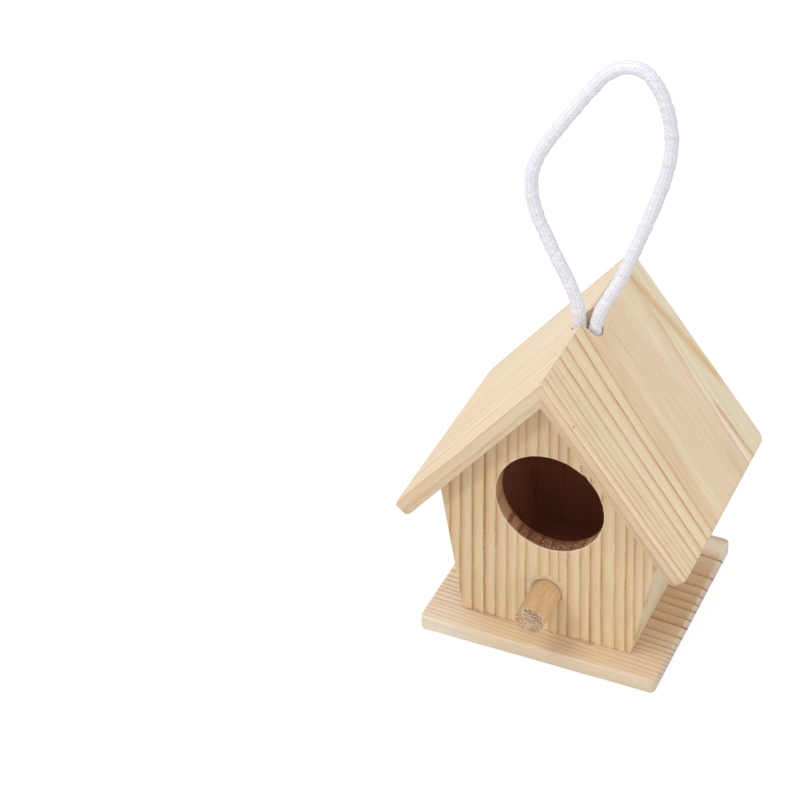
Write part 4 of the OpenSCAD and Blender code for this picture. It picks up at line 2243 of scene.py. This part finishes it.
@dataclass
class Viewpoint:
    """The camera, turned round the house from the front and raised."""

    azimuth: float = 24.4656
    elevation: float = 35.9564
    roll: float = -0.8141
    distance: float = 0.94722
    aim: Triple = (-0.078085, 0.011518, 0.059035)
    lens: float = 112.178
    nearest: float = 0.01

    def build(self) -> None:
        """Makes the camera and looks through it."""
        a, e, r = (math.radians(v) for v in (self.azimuth, self.elevation, self.roll))
        back = Vector((math.sin(a) * math.cos(e), -math.cos(a) * math.cos(e), math.sin(e)))
        right = Vector((math.cos(a), math.sin(a), 0.0))
        up = back.cross(right)
        turned = right * math.cos(r) + up * math.sin(r)
        raised = up * math.cos(r) - right * math.sin(r)
        data = bpy.data.cameras.new("camera")
        data.lens = self.lens
        data.clip_start = self.nearest
        camera = placed("camera", data)
        place = Matrix((turned, raised, back)).transposed().to_4x4()
        place.translation = Vector(self.aim) + back * self.distance
        camera.matrix_world = place
        bpy.context.scene.camera = camera


@dataclass(frozen=True)
class Softbox:
    """One large soft lamp."""

    name: str
    place: Triple
    size: float
    power: float

    def build(self, aim: Triple) -> None:
        """Hangs the lamp and points it.

        Args:
            aim: The point that it faces.
        """
        data = bpy.data.lights.new(self.name, "AREA")
        data.shape = "DISK"
        data.size = self.size
        data.energy = self.power
        lamp = placed(self.name, data)
        lamp.location = self.place
        lamp.rotation_euler = (Vector(aim) - Vector(self.place)).to_track_quat("-Z", "Y").to_euler()


@dataclass
class Studio:
    """A white floor and sky, and soft lamps.

    Bounce and sky are how bright the floor and the sky are as light. Shadow and glow are the parts
    of the floor's white that keep and ignore the light on it.
    """

    floor_size: float = 6.0
    floor_drop: float = 0.00005
    bounce: float = 0.65
    shadow: float = 0.22
    glow: float = 0.86
    sky: float = 0.76
    aim: Triple = (0.0, 0.0, 0.07)
    boxes: tuple[Softbox, ...] = (
        Softbox("overhead_softbox", (-0.55, -0.35, 1.15), 0.5, 3.7),
        Softbox("front_softbox", (-0.45, -1.1, 0.75), 0.18, 2.35),
        Softbox("right_softbox", (1.3, -0.45, 0.2), 0.6, 1.8),
    )

    def build(self) -> None:
        """Makes the floor, the sky and the lamps."""
        self._floor()
        self._sky()
        for box in self.boxes:
            box.build(self.aim)
        bpy.context.scene.view_settings.view_transform = "Standard"

    @staticmethod
    def _seen(bench: Bench) -> Signal:
        """Tells what is looked at from what only gives light.

        Args:
            bench: The bench of the floor or the sky.

        Returns:
            1 for what the camera, a reflection or a clear body sees, and 0 for light.
        """
        kinds = ("Is Camera Ray", "Is Glossy Ray", "Is Transmission Ray")
        camera, glossy, clear = (bench.node("ShaderNodeLightPath", output=kind) for kind in kinds)
        return camera.at_least(glossy).at_least(clear)

    def _floor(self) -> None:
        """Makes a plain floor that shows white and keeps a faint shadow."""
        bench = Bench.of("white_floor")
        plain = bench.node("ShaderNodeBsdfDiffuse", None, {"Color": grey(self.bounce)})
        faint = bench.node("ShaderNodeBsdfDiffuse", None, {"Color": grey(self.shadow)})
        glow = bench.node("ShaderNodeEmission", None, {"Color": grey(self.glow), "Strength": 1.0})
        white = bench.node("ShaderNodeAddShader", None, {0: faint, 1: glow})
        bench.show(bench.node("ShaderNodeMixShader", None, {0: self._seen(bench), 1: plain, 2: white}))
        half = self.floor_size / 2
        mesh = bpy.data.meshes.new("floor")
        corners = [(x, y, -self.floor_drop) for x, y, _ in rectangle((-half, -half), (half, half))]
        mesh.from_pydata(corners, [], [(0, 1, 2, 3)])
        mesh.materials.append(bench.owner)
        placed("floor", mesh)

    def _sky(self) -> None:
        """Makes a sky that shows white and lights at a plain level."""
        world = bpy.data.worlds.new("sky")
        bench = Bench(world)
        span = {"Value": self._seen(bench), "To Min": self.sky, "To Max": 1.0}
        level = bench.node("ShaderNodeMapRange", None, span)
        bench.show(bench.node("ShaderNodeBackground", None, {"Color": grey(1.0), "Strength": level}))
        bpy.context.scene.world = world


def main() -> None:
    """Builds the camera, the rope, the house and the studio."""
    logging.basicConfig(level=logging.INFO, format="%(name)s: %(message)s")
    Viewpoint().build()
    RopeLoop().build(CottonFinish().material())
    House().build()
    Perch().build()
    Leftovers().build()
    Studio().build()


if __name__ == "__main__":
    main()
